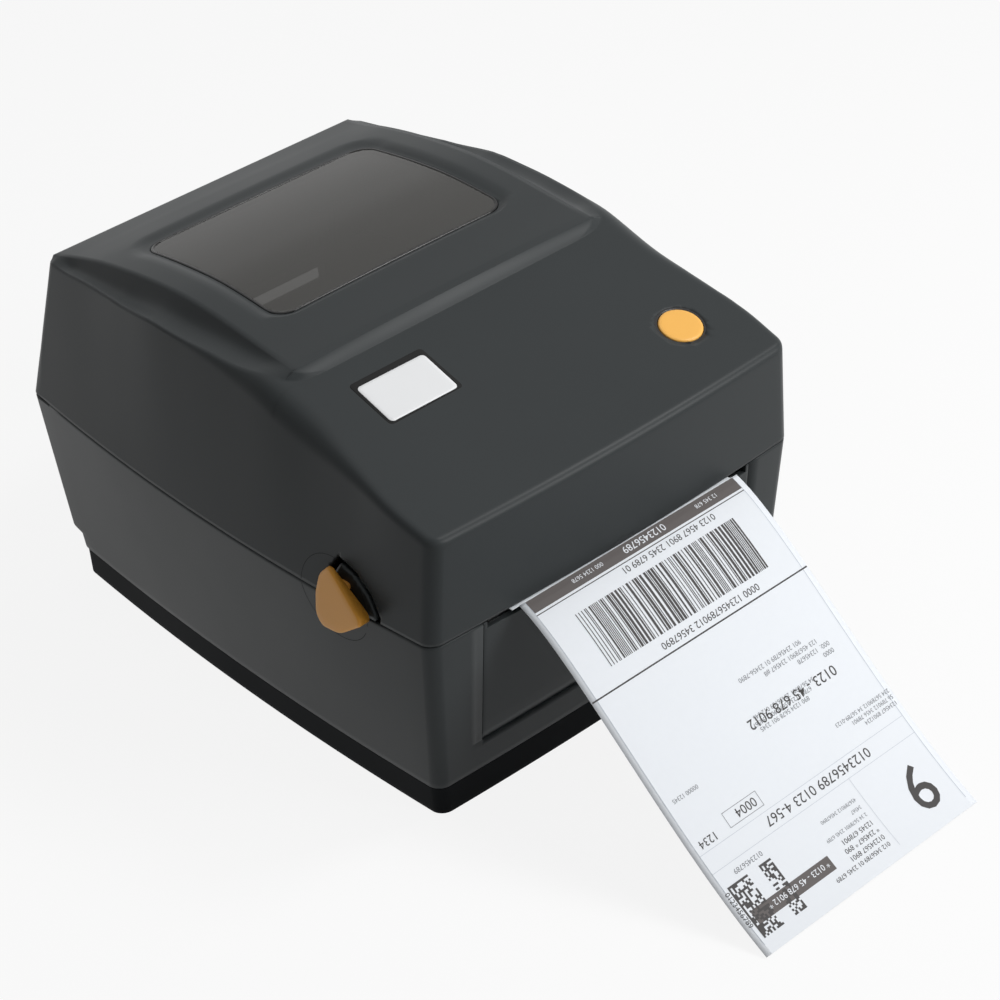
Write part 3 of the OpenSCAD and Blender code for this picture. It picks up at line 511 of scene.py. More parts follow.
def wound_rings(name, colour, pitch):
    """Edges of a wound roll: rings of radius about the x axis through the roll, pitch metres apart."""
    material, tree, shader = new_material(name, colour, 0.6)
    low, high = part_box("label_roll")
    axis = (0, -(low[1] + high[1]) / 2, -(low[2] + high[2]) / 2)
    last = add_node(tree, "TexCoord").outputs["Object"]
    for step in (add_node(tree, "Mapping", {"Location": axis}),
                 add_node(tree, "VectorMath", {1: (0, 1, 1)}, operation="MULTIPLY"),
                 add_node(tree, "VectorMath", operation="LENGTH"),
                 add_node(tree, "Math", {1: 2 * math.pi / pitch}, operation="MULTIPLY"),
                 add_node(tree, "Math", operation="SINE")):
        tree.links.new(last, step.inputs[0])
        last = next(out for out in step.outputs if out.enabled)
    vary_colour(tree, shader, last, scaled(colour, 0.8), colour)
    return material


def smoked_plastic(name, colour, alpha):
    """Smoked clear window: dark body colour that lets part of the light through, under gloss."""
    material, tree, shader = new_material(name, colour, 0.12, specular=0.35)
    shader.inputs["Alpha"].default_value = alpha
    vary_gloss(tree, shader, object_noise(tree, 26.0), 0.10, 0.15)
    return material


# Finishes by name: how each is made, its colour or the setting that holds it, and what else it needs
FINISHES = {
    "housing_plastic": (moulded, "housing", 0.38, 2600.0, 6e-6, 0.13),
    "chassis_plastic": (moulded, "chassis", 0.60, 2600.0, 6e-6, 0.04),
    "inner_plastic": (moulded, (0.028, 0.030, 0.032), 0.55),
    "lever_plastic": (moulded, "lever", 0.42, 2200.0, 4e-6),
    "button_plastic": (moulded, "button", 0.30, 1500.0, 2e-6),
    "black_gloss": (moulded, (0.006, 0.006, 0.006), 0.16, 900.0, 1e-6),
    "ring_plastic": (moulded, (0.020, 0.019, 0.020), 0.28, 1500.0, 2e-6),
    "socket_plastic": (moulded, (0.012, 0.012, 0.013), 0.40),
    "foot_rubber": (moulded, (0.012, 0.012, 0.012), 0.75, 1800.0, 1e-5),
    "roller_rubber": (moulded, (0.014, 0.014, 0.015), 0.62, 3200.0, 6e-6),
    "gear_acetal": (moulded, (0.66, 0.63, 0.54), 0.38, 1500.0, 2e-6),
    "circuit_green": (moulded, (0.012, 0.085, 0.035), 0.32, 1200.0, 3e-6),
    "head_ceramic": (moulded, (0.55, 0.55, 0.50), 0.22, 800.0, 1e-6),
    "card": (moulded, (0.36, 0.25, 0.15), 0.75, 700.0, 2e-5),
    "sticker_film": (moulded, (0.86, 0.87, 0.88), 0.35, 900.0, 1e-6),
    "motor_black": (moulded, (0.02, 0.02, 0.022), 0.35, 900.0, 4e-6),
    "ground_steel": (ground_metal, (0.60, 0.61, 0.62), 0.30, (0.05, 1, 1)),
    "zinc_sheet": (ground_metal, (0.50, 0.51, 0.52), 0.38, (1, 0.2, 1)),
    "bronze": (ground_metal, (0.60, 0.40, 0.18), 0.35, (1, 1, 1)),
    "label_stock": (paper_stock, "paper"),
    "roll_edges": (wound_rings, (0.74, 0.76, 0.79), 0.0011),
    "label_ink": (moulded, "ink", 0.55, 900.0, 2e-6),
    "band_ink": (moulded, (0.105, 0.093, 0.090), 0.55, 900.0, 2e-6),
    "grey_ink": (moulded, (0.22, 0.23, 0.25), 0.55, 900.0, 2e-6),
    "die_line": (moulded, (0.52, 0.56, 0.62), 0.55, 900.0, 2e-6),
    "gap_black": (moulded, (0.004, 0.004, 0.004), 0.8, 900.0, 1e-6),
    "smoked_window": (smoked_plastic, (0.050, 0.048, 0.043), 0.80),
}


def finish(name):
    """The material of that name, made once."""
    if name in bpy.data.materials:
        return bpy.data.materials[name]
    maker, colour, *rest = FINISHES[name]
    if isinstance(colour, str):
        colour = tuple(getattr(bpy.context.scene.printer_finish, colour))
    return maker(name, colour, *rest)


def dress(piece, material, body, slot, *nodes):
    """Gives a piece its finish, the body it rides on and the nodes it stands for; slot is not used."""
    if len(piece.data.materials) == 0:
        piece.data.materials.append(finish(material))
    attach(piece, body)
    if nodes:
        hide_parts(*nodes)
    return piece


# ---- Cover ----

# No point of the deck lies above this height, and none of the plateau below it
DECK_LIMIT = 130
LEVER_OPENING = np.array([(-93.0, 76), (-93.8, 83.1), (-90.1, 89.6), (-84.0, 94.4), (-76.5, 96.6),
                          (-73.5, 92), (-73.5, 76)])
HINGE_X = 58
NOTCH_HALF = 9.1
NOTCH_TOP = 89.2
BUTTON_HOLE_R = 9.3


def cover_depths():
    """Depths of the cover's sections: dense round corners, lever opening, band and window."""
    arc = CORNER_R * (1 - np.cos(np.linspace(0, math.pi / 2, 13)))
    edge = PLATEAU_FRONT + BAND
    stretches = [Y_FRONT + arc, np.arange(-113, -97, 2.0), np.arange(-97, -72, 0.7),
                 np.arange(-72, PLATEAU_FRONT - 2, 2.2), np.arange(PLATEAU_FRONT - 2, edge + 8, 0.5),
                 PLATEAU_FRONT + np.array([-0.12, 0, 0.12]), edge + np.array([-0.12, 0, 0.12]),
                 np.arange(edge + 8.5, -14, 1.5), np.arange(-13.6, -6, 0.42), np.arange(-5.6, 64, 2.6),
                 np.arange(64.4, 86, 0.6), np.arange(87, 98, 2.0), np.arange(98.4, RAKE_Y + 4, 0.6),
                 np.sort(Y_REAR - arc)]
    every = np.unique(np.round(np.concatenate(stretches), 3))
    return every[np.concatenate([[True], np.diff(every) > 0.04])]


def resampled(x, z, count):
    """count points evenly along each polyline x[i], z[i]."""
    steps = np.hypot(np.diff(x), np.diff(z))
    length = np.concatenate([np.zeros((len(x), 1)), np.cumsum(steps, axis=1)], 1)
    out = np.empty((len(x), count, 2))
    for i, run in enumerate(length):
        at = np.linspace(0, run[-1], count)
        out[i, :, 0] = np.interp(at, run, x[i])
        out[i, :, 1] = np.interp(at, run, z[i])
    return out


def heights(x, curve_x, curve_z):
    """Height of each row's curve, whose x falls from first to last, at the row's x."""
    return np.array([np.interp(a, cx[::-1], cz[::-1]) for a, cx, cz in zip(x, curve_x, curve_z)])


def rear_wall(z):
    """Depth of the cover's raked rear wall at height z."""
    tall = float(full_height(np.array(RAKE_Y)))
    return Y_REAR - (z - SEAM_Z) * (Y_REAR - RAKE_Y) / (tall - SEAM_Z)


def cover_curves(y):
    """Each section's outline without the plateau, from the seam to the middle.

    A side that leans in by its slope, a shoulder of radius r tangent to it and to the level top, and
    the top, of which the shoulder takes r tan((90 deg - lean) / 2). The corners round in by the
    distance to the front and to the raked rear wall.
    """
    a = side_half(y, SEAM_WIDTHS) - round_in(y - Y_FRONT, CORNER_R)
    tall = full_height(y)
    tall_rear = float(full_height(np.array(RAKE_Y)))
    rake = SEAM_Z + (Y_REAR - y) * (tall_rear - SEAM_Z) / (Y_REAR - RAKE_Y)
    h = np.maximum(soft_min(tall, rake, 0.9) - round_in(y - Y_FRONT, FRONT_EDGE_R), COVER_FOOT + 0.4)
    slope = a * lean_in(y) / (tall - SEAM_Z)
    lean = np.arctan(slope)
    r = np.minimum(edge_radius(y), 0.8 * (h - COVER_FOOT))
    flat = a - slope * (h - SEAM_Z) - r * np.tan((math.pi / 2 - lean) / 2)
    up = np.linspace(0, 1, 90)[None, :]
    side_z = COVER_FOOT + (h - r * (1 - np.sin(lean)) - COVER_FOOT) * up
    turn = lean + (math.pi / 2 - lean) * up[:, 1:]
    across = up[:, 1:]
    side_x = a - slope * (side_z - SEAM_Z)
    x = np.concatenate([side_x, flat + r * np.cos(turn), flat * (1 - across)], 1)
    z = np.concatenate([side_z, h - r + r * np.sin(turn), h + 0 * across * y], 1)
    x = np.maximum(x - round_in(rear_wall(z) - y, CORNER_R) * smooth_step((x - 40) / 15), 0)
    x[:, -1] = 0
    return np.minimum.accumulate(x, 1), z, h


def cover_grid():
    """The cover's skin as sections along y, each in three stretches from the right seam to the middle.

    Side: the section's own curve. Ledge: from rim to plateau edge, straight at the front band, and a
    scoop 1.15 t^4.5 - 0.15 t of the rise behind it. Top: plateau height plus crown (1 - (x / w)^2).
    In front of the plateau the curve itself goes on, and over the band the two are mixed.
    """
    y = cover_depths()[:, None]
    curve_x, curve_z, h = cover_curves(y)
    at_edge = np.argmax(curve_z >= h - ramp(y, (-45, 4), (-10, 2.5), (15, 0.9)), axis=1)
    reach = curve_x[np.arange(len(y)), at_edge][:, None]
    rim = np.minimum(rim_x(y), reach)
    edge = np.minimum(plateau_x(y), rim - 1.0)
    rim_h = heights(rim, curve_x, curve_z)
    side = resampled(np.maximum(curve_x, rim), np.where(curve_x > rim, curve_z, rim_h), 54)
    t = np.concatenate([np.linspace(0, 0.5, 6)[1:], np.linspace(0.5, 1, 14)[1:]])[None, :]
    scooped = smooth_step((y - PLATEAU_FRONT - 5) / 14) * smooth_step((RAKE_Y - 4 - y) / 12)
    rise = scooped * (1.15 * t ** 4.5 - 0.15 * t) + (1 - scooped) * t
    rear = smooth_step((Y_REAR - y) / (Y_REAR - RAKE_Y))
    top = h + np.maximum(0, plateau_z(y) - full_height(y)) * rear
    ledge_x = rim + (edge - rim) * t
    ledge_z = rim_h + (top - rim_h) * rise
    share = np.concatenate([np.linspace(1, 0.80, 7)[1:], np.linspace(0.79, 0.66, 22),
                            np.linspace(0.64, 0, 15)])[None, :]
    top_x = edge * share
    top_h = top + crown_rise(y) * (1 - share ** 2)
    inner_x = np.concatenate([ledge_x, top_x], 1)
    inner_z = np.concatenate([ledge_z, top_h], 1)
    mixed = np.clip((y - PLATEAU_FRONT) / BAND, 0, 1)
    inner_z = mixed * inner_z + (1 - mixed) * heights(inner_x, curve_x, curve_z)
    half_x = np.concatenate([side[:, :, 0], inner_x], 1)
    half_z = np.concatenate([side[:, :, 1], inner_z], 1)
    x = np.concatenate([half_x, -half_x[:, -2::-1]], 1)
    z = np.concatenate([half_z, half_z[:, -2::-1]], 1)
    points = np.stack([x, np.repeat(y, x.shape[1], 1), z], -1)
    # Window recess with a rolled lip
    d = polygon_distance(points[..., 0], points[..., 1], WINDOW_CORNERS, WINDOW_RADIUS)
    lip = ramp(points[..., 1], (-12, 3), (-4, 5), (62, 5), (76, 8.5))
    sunk = 1.75 * smooth_step(-d / 1.1) + WINDOW_SINK * smooth_step(1 - d / lip)
    points[..., 2] -= np.where(points[..., 2] > DECK_LIMIT, sunk, 0)
    # Front face: the first section drawn in to the middle of its foot
    draw = np.linspace(1, 0, 26)[1:, None, None] ** 0.8
    foot = np.array([0, Y_FRONT, COVER_FOOT])
    face = foot + (points[0] - foot) * draw
    points = np.concatenate([face[::-1], points])
    return bowed(points, COVER_LEAN)


def lever_opening(y, z):
    """Signed distance to the lever's opening in the cover's side, in the y-z plane."""
    return polygon_distance(y, z, LEVER_OPENING, 1.2)


def hinge_notch(x, z):
    """Signed distance to the hinges' notches in the cover's rear wall, in the x-z plane."""
    return np.maximum(np.abs(np.abs(x) - HINGE_X) - NOTCH_HALF, z - NOTCH_TOP)


def window_hole(x, y):
    """Signed distance to the hole behind the window, in the x-y plane."""
    return polygon_distance(x, y, WINDOW_CORNERS, WINDOW_RADIUS, -WINDOW_LEDGE)


def button_hole(x, y):
    """Distance to the feed button's hole in the sloping deck, in the x-y plane."""
    return np.hypot(x - BUTTON_AT[0], (y - BUTTON_AT[1]) / 0.961) - BUTTON_HOLE_R


def circle_line(name, body, low_z, high_z):
    """Fine joint line of the lever's round seat: an arc laid on the side wall between two heights."""
    angle = np.linspace(0, 2 * math.pi, 241)
    y, z = SEAT_AT[0] + SEAT_R * np.cos(angle), SEAT_AT[1] + SEAT_R * np.sin(angle)
    run = np.flatnonzero((z > low_z) & (z < high_z) & (lever_opening(y, z) > 0.3))
    points, faces = [], []
    for side in (-1, 1):
        for group in np.split(run, np.flatnonzero(np.diff(run) > 1) + 1):
            base, m = len(points), len(group)
            for r in (SEAT_R - SEAT_LINE / 2, SEAT_R + SEAT_LINE / 2):
                yy, zz = SEAT_AT[0] + r * np.cos(angle[group]), SEAT_AT[1] + r * np.sin(angle[group])
                points += np.stack([side * (wall_x(yy, zz) + 0.03), yy, zz], -1).tolist()
            faces += [[base + i, base + i + 1, base + m + i + 1, base + m + i] for i in range(m - 1)]
    line = new_piece(name, np.array(points), faces, recalculate=False)
    dress(line, "gap_black", body, "socket")


def wall_x(y, z):
    """Half width of the housing's side at (y, z), cover above the seam and base below it."""
    base = (z - CHASSIS_Z) / (SEAM_Z - CHASSIS_Z)
    below = side_half(y, CHASSIS_WIDTHS) * (1 - base) + side_half(y, SEAM_WIDTHS) * base
    curve_x, curve_z, _ = cover_curves(np.reshape(y, (-1, 1)))
    above = np.array([np.interp(b, cz, cx) for b, cx, cz in zip(z, curve_x, curve_z)])
    return np.where(z > SEAM_Z, above, below)


class PRINTER_OT_cover(bpy.types.Operator):
    """Top cover with its deck, plateau, side scoops, window recess and lever openings"""

    bl_idname = "printer.cover"
    bl_label = "Cover"

    def execute(self, context):
        points = cover_grid()
        keep = np.ones((points.shape[0] - 1, points.shape[1] - 1), bool)
        for hole, axes, side in ((lever_opening, (1, 2), lambda c: np.abs(c[..., 0]) > 75),
                                 (window_hole, (0, 1), lambda c: c[..., 2] > DECK_LIMIT),
                                 (button_hole, (0, 1), lambda c: c[..., 2] > 115),
                                 (hinge_notch, (0, 2), lambda c: c[..., 1] > 100)):
            keep = cut_grid(points, keep, hole, axes, side)
        faces = cell_faces(*points.shape[:2])[keep.reshape(-1)]
        piece = new_piece("cover_shell", points, faces)
        solidify(piece, context.scene.printer_sizes.shell)
        dress(piece, "housing_plastic", "cover", "housing", "top_cover")
        circle_line("cover_seat_line", "cover", SEAM_Z + 0.6, 99)
        return {"FINISHED"}


def crown_rise(y):
    """Rise of the plateau's middle above its edges, which runs out at both ends."""
    crown = bpy.context.scene.printer_sizes.crown
    return crown * np.clip(np.minimum((y - PLATEAU_FRONT) / 8, (RAKE_Y - y) / 15), 0, 1)


def window_top(x, y):
    """Height of the window at (x, y): the crowned plateau, sunk by the window's depth."""
    edge = np.clip(np.abs(x) / plateau_x(y), 0, 1)
    return plateau_z(y) + crown_rise(y) * (1 - edge ** 2) - WINDOW_SINK


def window_ring(inset, drop, share=1.0):
    """The window's outline set in by inset, then scaled to share, at drop below the window's top."""
    spokes = rounded_polygon(WINDOW_CORNERS, [WINDOW_RADIUS] * 4, 14, 16) - WINDOW_MIDDLE
    ring = WINDOW_MIDDLE + spokes * (1 - inset / np.linalg.norm(spokes, axis=1))[:, None]
    if share < 1:
        ring = WINDOW_MIDDLE + (ring - WINDOW_MIDDLE) * share
    return laid_on(window_top, ring, -drop)


# Rings of the window's pieces as (inset, drop)
WINDOW_GLASS = [(0.75, 1.4), (0.75, 0.45), (0.95, 0.15), (1.35, 0.02), (WINDOW_LEDGE, 0.0)]
WINDOW_FRAME = [(0.3, 0.9), (0.3, -0.08), (0.6, -0.28), (1.1, -0.28), (1.5, -0.10), (1.7, 0.9)]
# Painted shade: a flat black ring on the ledge under the glass's edge, standing in for the shade there
WINDOW_EDGE_SHADE = [(0.9, 1.75), (3.4, 1.75)]


class PRINTER_OT_window(bpy.types.Operator):
    """Smoked window with a rolled edge, the glossy black frame round it, and a black ring of painted
    shade under its edge
    """

    bl_idname = "printer.window"
    bl_label = "Window"

    def execute(self, context):
        rings = [window_ring(*step) for step in WINDOW_GLASS]
        rings += [window_ring(WINDOW_LEDGE, 0.0, share) for share in np.linspace(0.97, 0.03, 16)]
        glass = lofted("window_glass", rings, (False, True))
        solidify(glass, 1.0)
        dress(glass, "smoked_window", "cover", "window", "viewing_window")
        # The frame is the glossy black lip; the second ring is painted shade under the glass's edge
        for name, steps in (("window_frame", WINDOW_FRAME), ("window_border", WINDOW_EDGE_SHADE)):
            rim = lofted(name, [window_ring(*step) for step in steps], (False, False))
            dress(rim, "black_gloss", "cover", "socket")
        return {"FINISHED"}


# Profiles of the feed button and its ring as (radius, height over the deck)
BUTTON_CAP = [(8.2, -4.5), (8.2, 0.15), (8.12, 0.45), (7.9, 0.68), (7.5, 0.8), (6.6, 0.84),
              (4.0, 0.80), (1.5, 0.78), (0.02, 0.78)]
BUTTON_RING = [(8.3, -8.2), (8.3, 0.05), (8.42, 0.3), (8.75, 0.42), (9.5, 0.42), (9.85, 0.3),
               (10.0, 0.05), (10.0, -8.2), (8.3, -8.2)]


class PRINTER_OT_button(bpy.types.Operator):
    """Feed button with its rounded cap, and the ring round it"""

    bl_idname = "printer.button"
    bl_label = "Feed button"

    def execute(self, context):
        tilt = context.scene.printer_sizes.deck_angle
        origin = (*BUTTON_AT, float(deck_z(np.array(BUTTON_AT[1]))))
        cap = lathe("button_cap", BUTTON_CAP, origin, tilt)
        dress(cap, "button_plastic", "button", "button", "feed_button")
        ring = lathe("button_lip", BUTTON_RING, origin, tilt)
        dress(ring, "ring_plastic", "cover", "button_ring", "button_ring")
        return {"FINISHED"}


NAMEPLATE = np.array([(-57.2, -72.9), (-27.3, -73.1), (-27.0, -54.6), (-56.9, -54.3)])
NAMEPLATE_SEAT = np.array([(-58.2, -73.9), (-25.6, -73.9), (-25.6, -51.8), (-58.2, -51.8)])


class PRINTER_OT_nameplate(bpy.types.Operator):
    """Bare name sticker on its shallow dark seat"""

    bl_idname = "printer.nameplate"
    bl_label = "Nameplate"

    def execute(self, context):
        for name, material, slot, corners, lift, nodes in (
                ("nameplate_seat", "gap_black", "socket", NAMEPLATE_SEAT, 0.14, ()),
                ("nameplate_film", "sticker_film", "sticker", NAMEPLATE, 0.30, ("nameplate",))):
            middle = corners.mean(axis=0)
            outline = rounded_polygon(corners, [1.6] * 4, 8, 10)
            steps = [(1.0, -0.25), (1.0, lift - 0.08), (0.992, lift)]
            steps += [(share, lift) for share in np.linspace(0.9, 0.05, 8)]
            rings = [laid_on(top_z, middle + (outline - middle) * share, rise)
                     for share, rise in steps]
            dress(lofted(name, rings), material, "cover", slot, *nodes)
        return {"FINISHED"}


# ---- Base ----

BASE_TOP = 80.7
BASE_FOOT = 12.05
SKIRT_REAR = 106.7
PANEL_EDGE = 64.15
PANEL_GAP = 0.3
PANEL_FOOT = 26.15
SLOT_HALF = 62.4
SLOT_FOOT = 77.6
BASE_HEIGHTS = np.array([BASE_FOOT, 12.2, 12.6, 15, 18.7, 19.0, 19.4, 19.8, 20.2, 21, 23, 25.85,
                         PANEL_FOOT, 30, 35, 40, 45, 50, 55, 60, 65, 70, 74, 77.2, SLOT_FOOT, 79, 79.8,
                         80.2, 80.45, 80.6, BASE_TOP])
SKIRT_HEIGHTS = np.array([0.3, 0.34, 0.45, 0.7, 2.4, 5, 8, 11.4, 11.7, 11.9, CHASSIS_Z])


def base_grid(levels, insets, step_rear=True):
    """The base's wall as rings at the given levels, each set in by its inset.

    Half widths and the front run straight from the chassis line to the seam; the rear wall steps in
    by about 7 mm below z = 20. Columns run up the right side, across the rear, down the left side and
    across the front, where they keep the x of the panel's edge and of the slot's end.
    """
    rings = []
    arc = np.linspace(0, math.pi / 2, 14)
    for z, inset in zip(levels, insets):
        k = max((z - CHASSIS_Z) / (SEAM_Z - CHASSIS_Z), 0)
        widths = np.array(CHASSIS_WIDTHS) * (1 - k) + np.array(SEAM_WIDTHS) * k
        y0 = Y_FRONT + FRONT_LEAN * (1 - k) + inset
        low = 107.7 + 0.1 * (z - CHASSIS_Z)
        high = 114.5 + (z - 20) * 5.2 / 61
        stepped = low + (high - low) * float(smooth_step((z - 18.8) / 1.2))
        y1 = (stepped if step_rear else SKIRT_REAR) - inset
        r = CORNER_R - inset
        corner = r * (1 - np.cos(arc))
        y = np.concatenate([y0 + corner, np.linspace(y0 + r, y1 - r, 26)[1:-1], np.sort(y1 - corner)])
        x = side_half(y, widths) - inset - round_in(np.minimum(y - y0, y1 - y), r)
        rear = np.linspace(x[-1], -x[-1], 12)[1:-1]
        front = np.concatenate([np.linspace(-x[0], -PANEL_EDGE, 4)[1:], [-SLOT_HALF],
                                np.linspace(-60, 60, 31), [SLOT_HALF],
                                np.linspace(PANEL_EDGE, x[0], 4)[:-1]])
        ring = np.concatenate([np.stack([x, y], -1), np.stack([rear, np.full(10, y1)], -1),
                               np.stack([-x[::-1], y[::-1]], -1),
                               np.stack([front, np.full(len(front), y0)], -1)])
        rings.append(np.concatenate([ring, np.full((len(ring), 1), z)], 1))
    return bowed(np.array(rings), 0.0)


def is_panel(points):
    """Cells of the base's wall that belong to the front bezel."""
    cell = cell_middles(points)
    return (np.abs(cell[..., 0]) < 64.1) & (cell[..., 2] > 25.9) & (cell[..., 1] < -100)


class PRINTER_OT_base(bpy.types.Operator):
    """Lower housing, front bezel and chassis skirt"""

    bl_idname = "printer.base"
    bl_label = "Base"

    def execute(self, context):
        shell = context.scene.printer_sizes.shell
        z = BASE_HEIGHTS
        points = base_grid(z, round_in(BASE_TOP - z, 0.8) + round_in(z - BASE_FOOT, 0.5))
        faces = cell_faces(len(z), points.shape[1], closed=True)
        panel = is_panel(points)
        cells = cell_middles(points)
        behind_hinges = (cells[..., 1] > 108) & (cells[..., 2] > 79.4)
        wall = new_piece("housing_shell", points, faces[~(panel | behind_hinges).reshape(-1)])
        solidify(wall, shell)
        cut_sockets(wall)
        dress(wall, "housing_plastic", "base", "housing", "lower_housing")
        front = base_grid(z, round_in(BASE_TOP - z, 0.5) + round_in(z - PANEL_FOOT, 0.35) * (z < 27))
        x = front[..., 0]
        at_edge = np.abs(np.abs(x) - PANEL_EDGE) < 0.1
        front[..., 0] = np.where(at_edge, np.sign(x) * (PANEL_EDGE - PANEL_GAP), x)
        cells = cell_middles(front)
        slot = (np.abs(cells[..., 0]) < SLOT_HALF) & (cells[..., 2] > SLOT_FOOT)
        part = panel & ~slot & (cells[..., 2] > 26.2)
        bezel = new_piece("bezel_panel", front, faces[part.reshape(-1)])
        solidify(bezel, shell)
        bevel(bezel, 0.25)
        dress(bezel, "housing_plastic", "base", "bezel", "front_bezel")
        z = SKIRT_HEIGHTS
        skirt = base_grid(z, 0.35 + round_in(z - z[0], 0.4) + round_in(z[-1] - z, 0.3), False)
        chassis = lofted("chassis_tray", skirt, (True, False))
        solidify(chassis, shell)
        dress(chassis, "chassis_plastic", "base", "chassis", "bottom_chassis")
        circle_line("base_seat_line", "base", 58, SEAM_Z - 0.6)
        return {"FINISHED"}


# Openings of the rear wall as ((x0, x1), (z0, z1)): fan-fold slot, two sockets and the switch
REAR_OPENINGS = [((-56, 56), (69, 75)), ((-65.2, -50.8), (28.8, 43.2)), ((-41.7, -26.3), (28.8, 43.2)),
                 ((42.8, 69.2), (25.8, 46.2))]


def cut_sockets(wall):
    """Cuts the openings of the rear wall."""
    tools = []
    for (x0, x1), (z0, z1) in REAR_OPENINGS:
        outline = rounded_polygon([(x0, z0), (x1, z0), (x1, z1), (x0, z1)], [1.0] * 4, 5, 1)
        rings = [np.insert(outline, 1, y, axis=1) for y in (108.0, 124.0)]
        tools.append(lofted("socket_cutter", rings))
        cut = wall.modifiers.new("opening", "BOOLEAN")
        cut.operation = "DIFFERENCE"
        cut.solver = "EXACT"
        cut.object = tools[-1]
    apply_modifiers(wall)
    for tool in tools:
        bpy.data.objects.remove(tool)


def apply_modifiers(piece):
    """Replaces a piece's mesh by its evaluated one."""
    graph = bpy.context.evaluated_depsgraph_get()
    mesh = bpy.data.meshes.new_from_object(piece.evaluated_get(graph))
    piece.modifiers.clear()
    piece.data = mesh


# ---- Release levers ----


LEVER_CORNERS = [(-75.8, 97.8), (-96.2, 84.6), (-79.0, 71.0), (-63.0, 66.6), (-64.8, 81.0),
                 (-68.8, 90.8)]
LEVER_RADII = [2.8, 3.0, 22.0, 4.5, 18.0, 10.0]
LEVER_TIP = (-95.0, 84.5)
LEVER_BACK = 91.4
LEVER_FRONT = 96.1
LEVER_FALL = (0.14, 0.035)
# Rings of the plate from its edge inwards: share of the way to the middle, and drop below its face
LEVER_STEPS = [(0, 1.3), (0, 0.9), (0.012, 0.4), (0.035, 0.12), (0.07, 0), (0.3, 0), (0.6, 0),
               (0.9, 0)]
ARM_CORNERS = [(-58.2, 36.5), (-60.5, 46.5), (-77.0, 91.0), (-82.0, 91.0), (-70.0, 40.0), (-66, 34.5)]
ARM_RADII = [3, 2, 1.5, 1.5, 3, 3]


class PRINTER_OT_levers(bpy.types.Operator):
    """Orange finger levers at both sides: a plate that slopes away from its tip, each on its arm"""

    bl_idname = "printer.levers"
    bl_label = "Release levers"

    def execute(self, context):
        outline = rounded_polygon(LEVER_CORNERS, LEVER_RADII, 10, 8)
        middle = outline.mean(axis=0)
        for side, hand in ((-1, "left"), (1, "right")):
            rings = [np.insert(outline, 0, side * LEVER_BACK, axis=1)]
            for share, drop in LEVER_STEPS:
                ring = outline + (middle - outline) * share
                x = LEVER_FRONT - (ring - LEVER_TIP) @ LEVER_FALL - drop
                rings.append(np.concatenate([side * x[:, None], ring], 1))
            dress(lofted(f"finger_lever_{hand}", rings), "lever_plastic", "latch", "lever")
            arm = lofted(f"lever_arm_{hand}", lever_arm(side))
            bevel(arm, 0.4)
            dress(arm, "lever_plastic", "latch", "lever", f"latch_lever_{hand}")
        return {"FINISHED"}


def lever_arm(side):
    """Rings of the arm from the shaft up to the neck, which runs out through the cover's opening."""
    flat = rounded_polygon(ARM_CORNERS, ARM_RADII, 5, 3)
    neck = np.array([np.clip(flat[:, 0], -82, -77), np.clip(flat[:, 1], 86, 91)]).T
    places = ((79, flat), (82, flat), (82.02, neck), (92.5, neck))
    return [np.insert(ring, 0, side * x, axis=1) for x, ring in places]


# ---- Label ----

# The label hangs a little to the right of the middle and drifts to the left along its length
LABEL_SHIFT = 3.2
LABEL_SKEW = 0.036
FACE_HALF = 50.2


def label_path():
    """Points of the label's cubic curve from the slot to its free end, and their arc lengths."""
    reach = bpy.context.scene.printer_sizes.label_reach
    ends = np.array([(-122.5, 80.8), (-150, 72), (-195, 22), (-reach, 0.45)])
    t = np.linspace(0, 1, 400)[:, None]
    path = ((1 - t) ** 3 * ends[0] + 3 * t * (1 - t) ** 2 * ends[1] + 3 * t * t * (1 - t) * ends[2]
            + t ** 3 * ends[3])
    run = np.concatenate([[0], np.cumsum(np.linalg.norm(np.diff(path, axis=0), axis=1))])
    return path, run


def on_label(u, v, lift=0.0):
    """Point of the label at u across and v along from the slot, lifted along its normal."""
    path, run = label_path()
    y, z = np.interp(v, run, path[:, 0]), np.interp(v, run, path[:, 1])
    ahead, behind = np.minimum(v + 0.5, run[-1]), np.maximum(v - 0.5, 0)
    ty = np.interp(ahead, run, path[:, 0]) - np.interp(behind, run, path[:, 0])
    tz = np.interp(ahead, run, path[:, 1]) - np.interp(behind, run, path[:, 1])
    size = np.hypot(ty, tz)
    return np.stack([u + LABEL_SHIFT - LABEL_SKEW * v, y + tz / size * lift, z - ty / size * lift], -1)


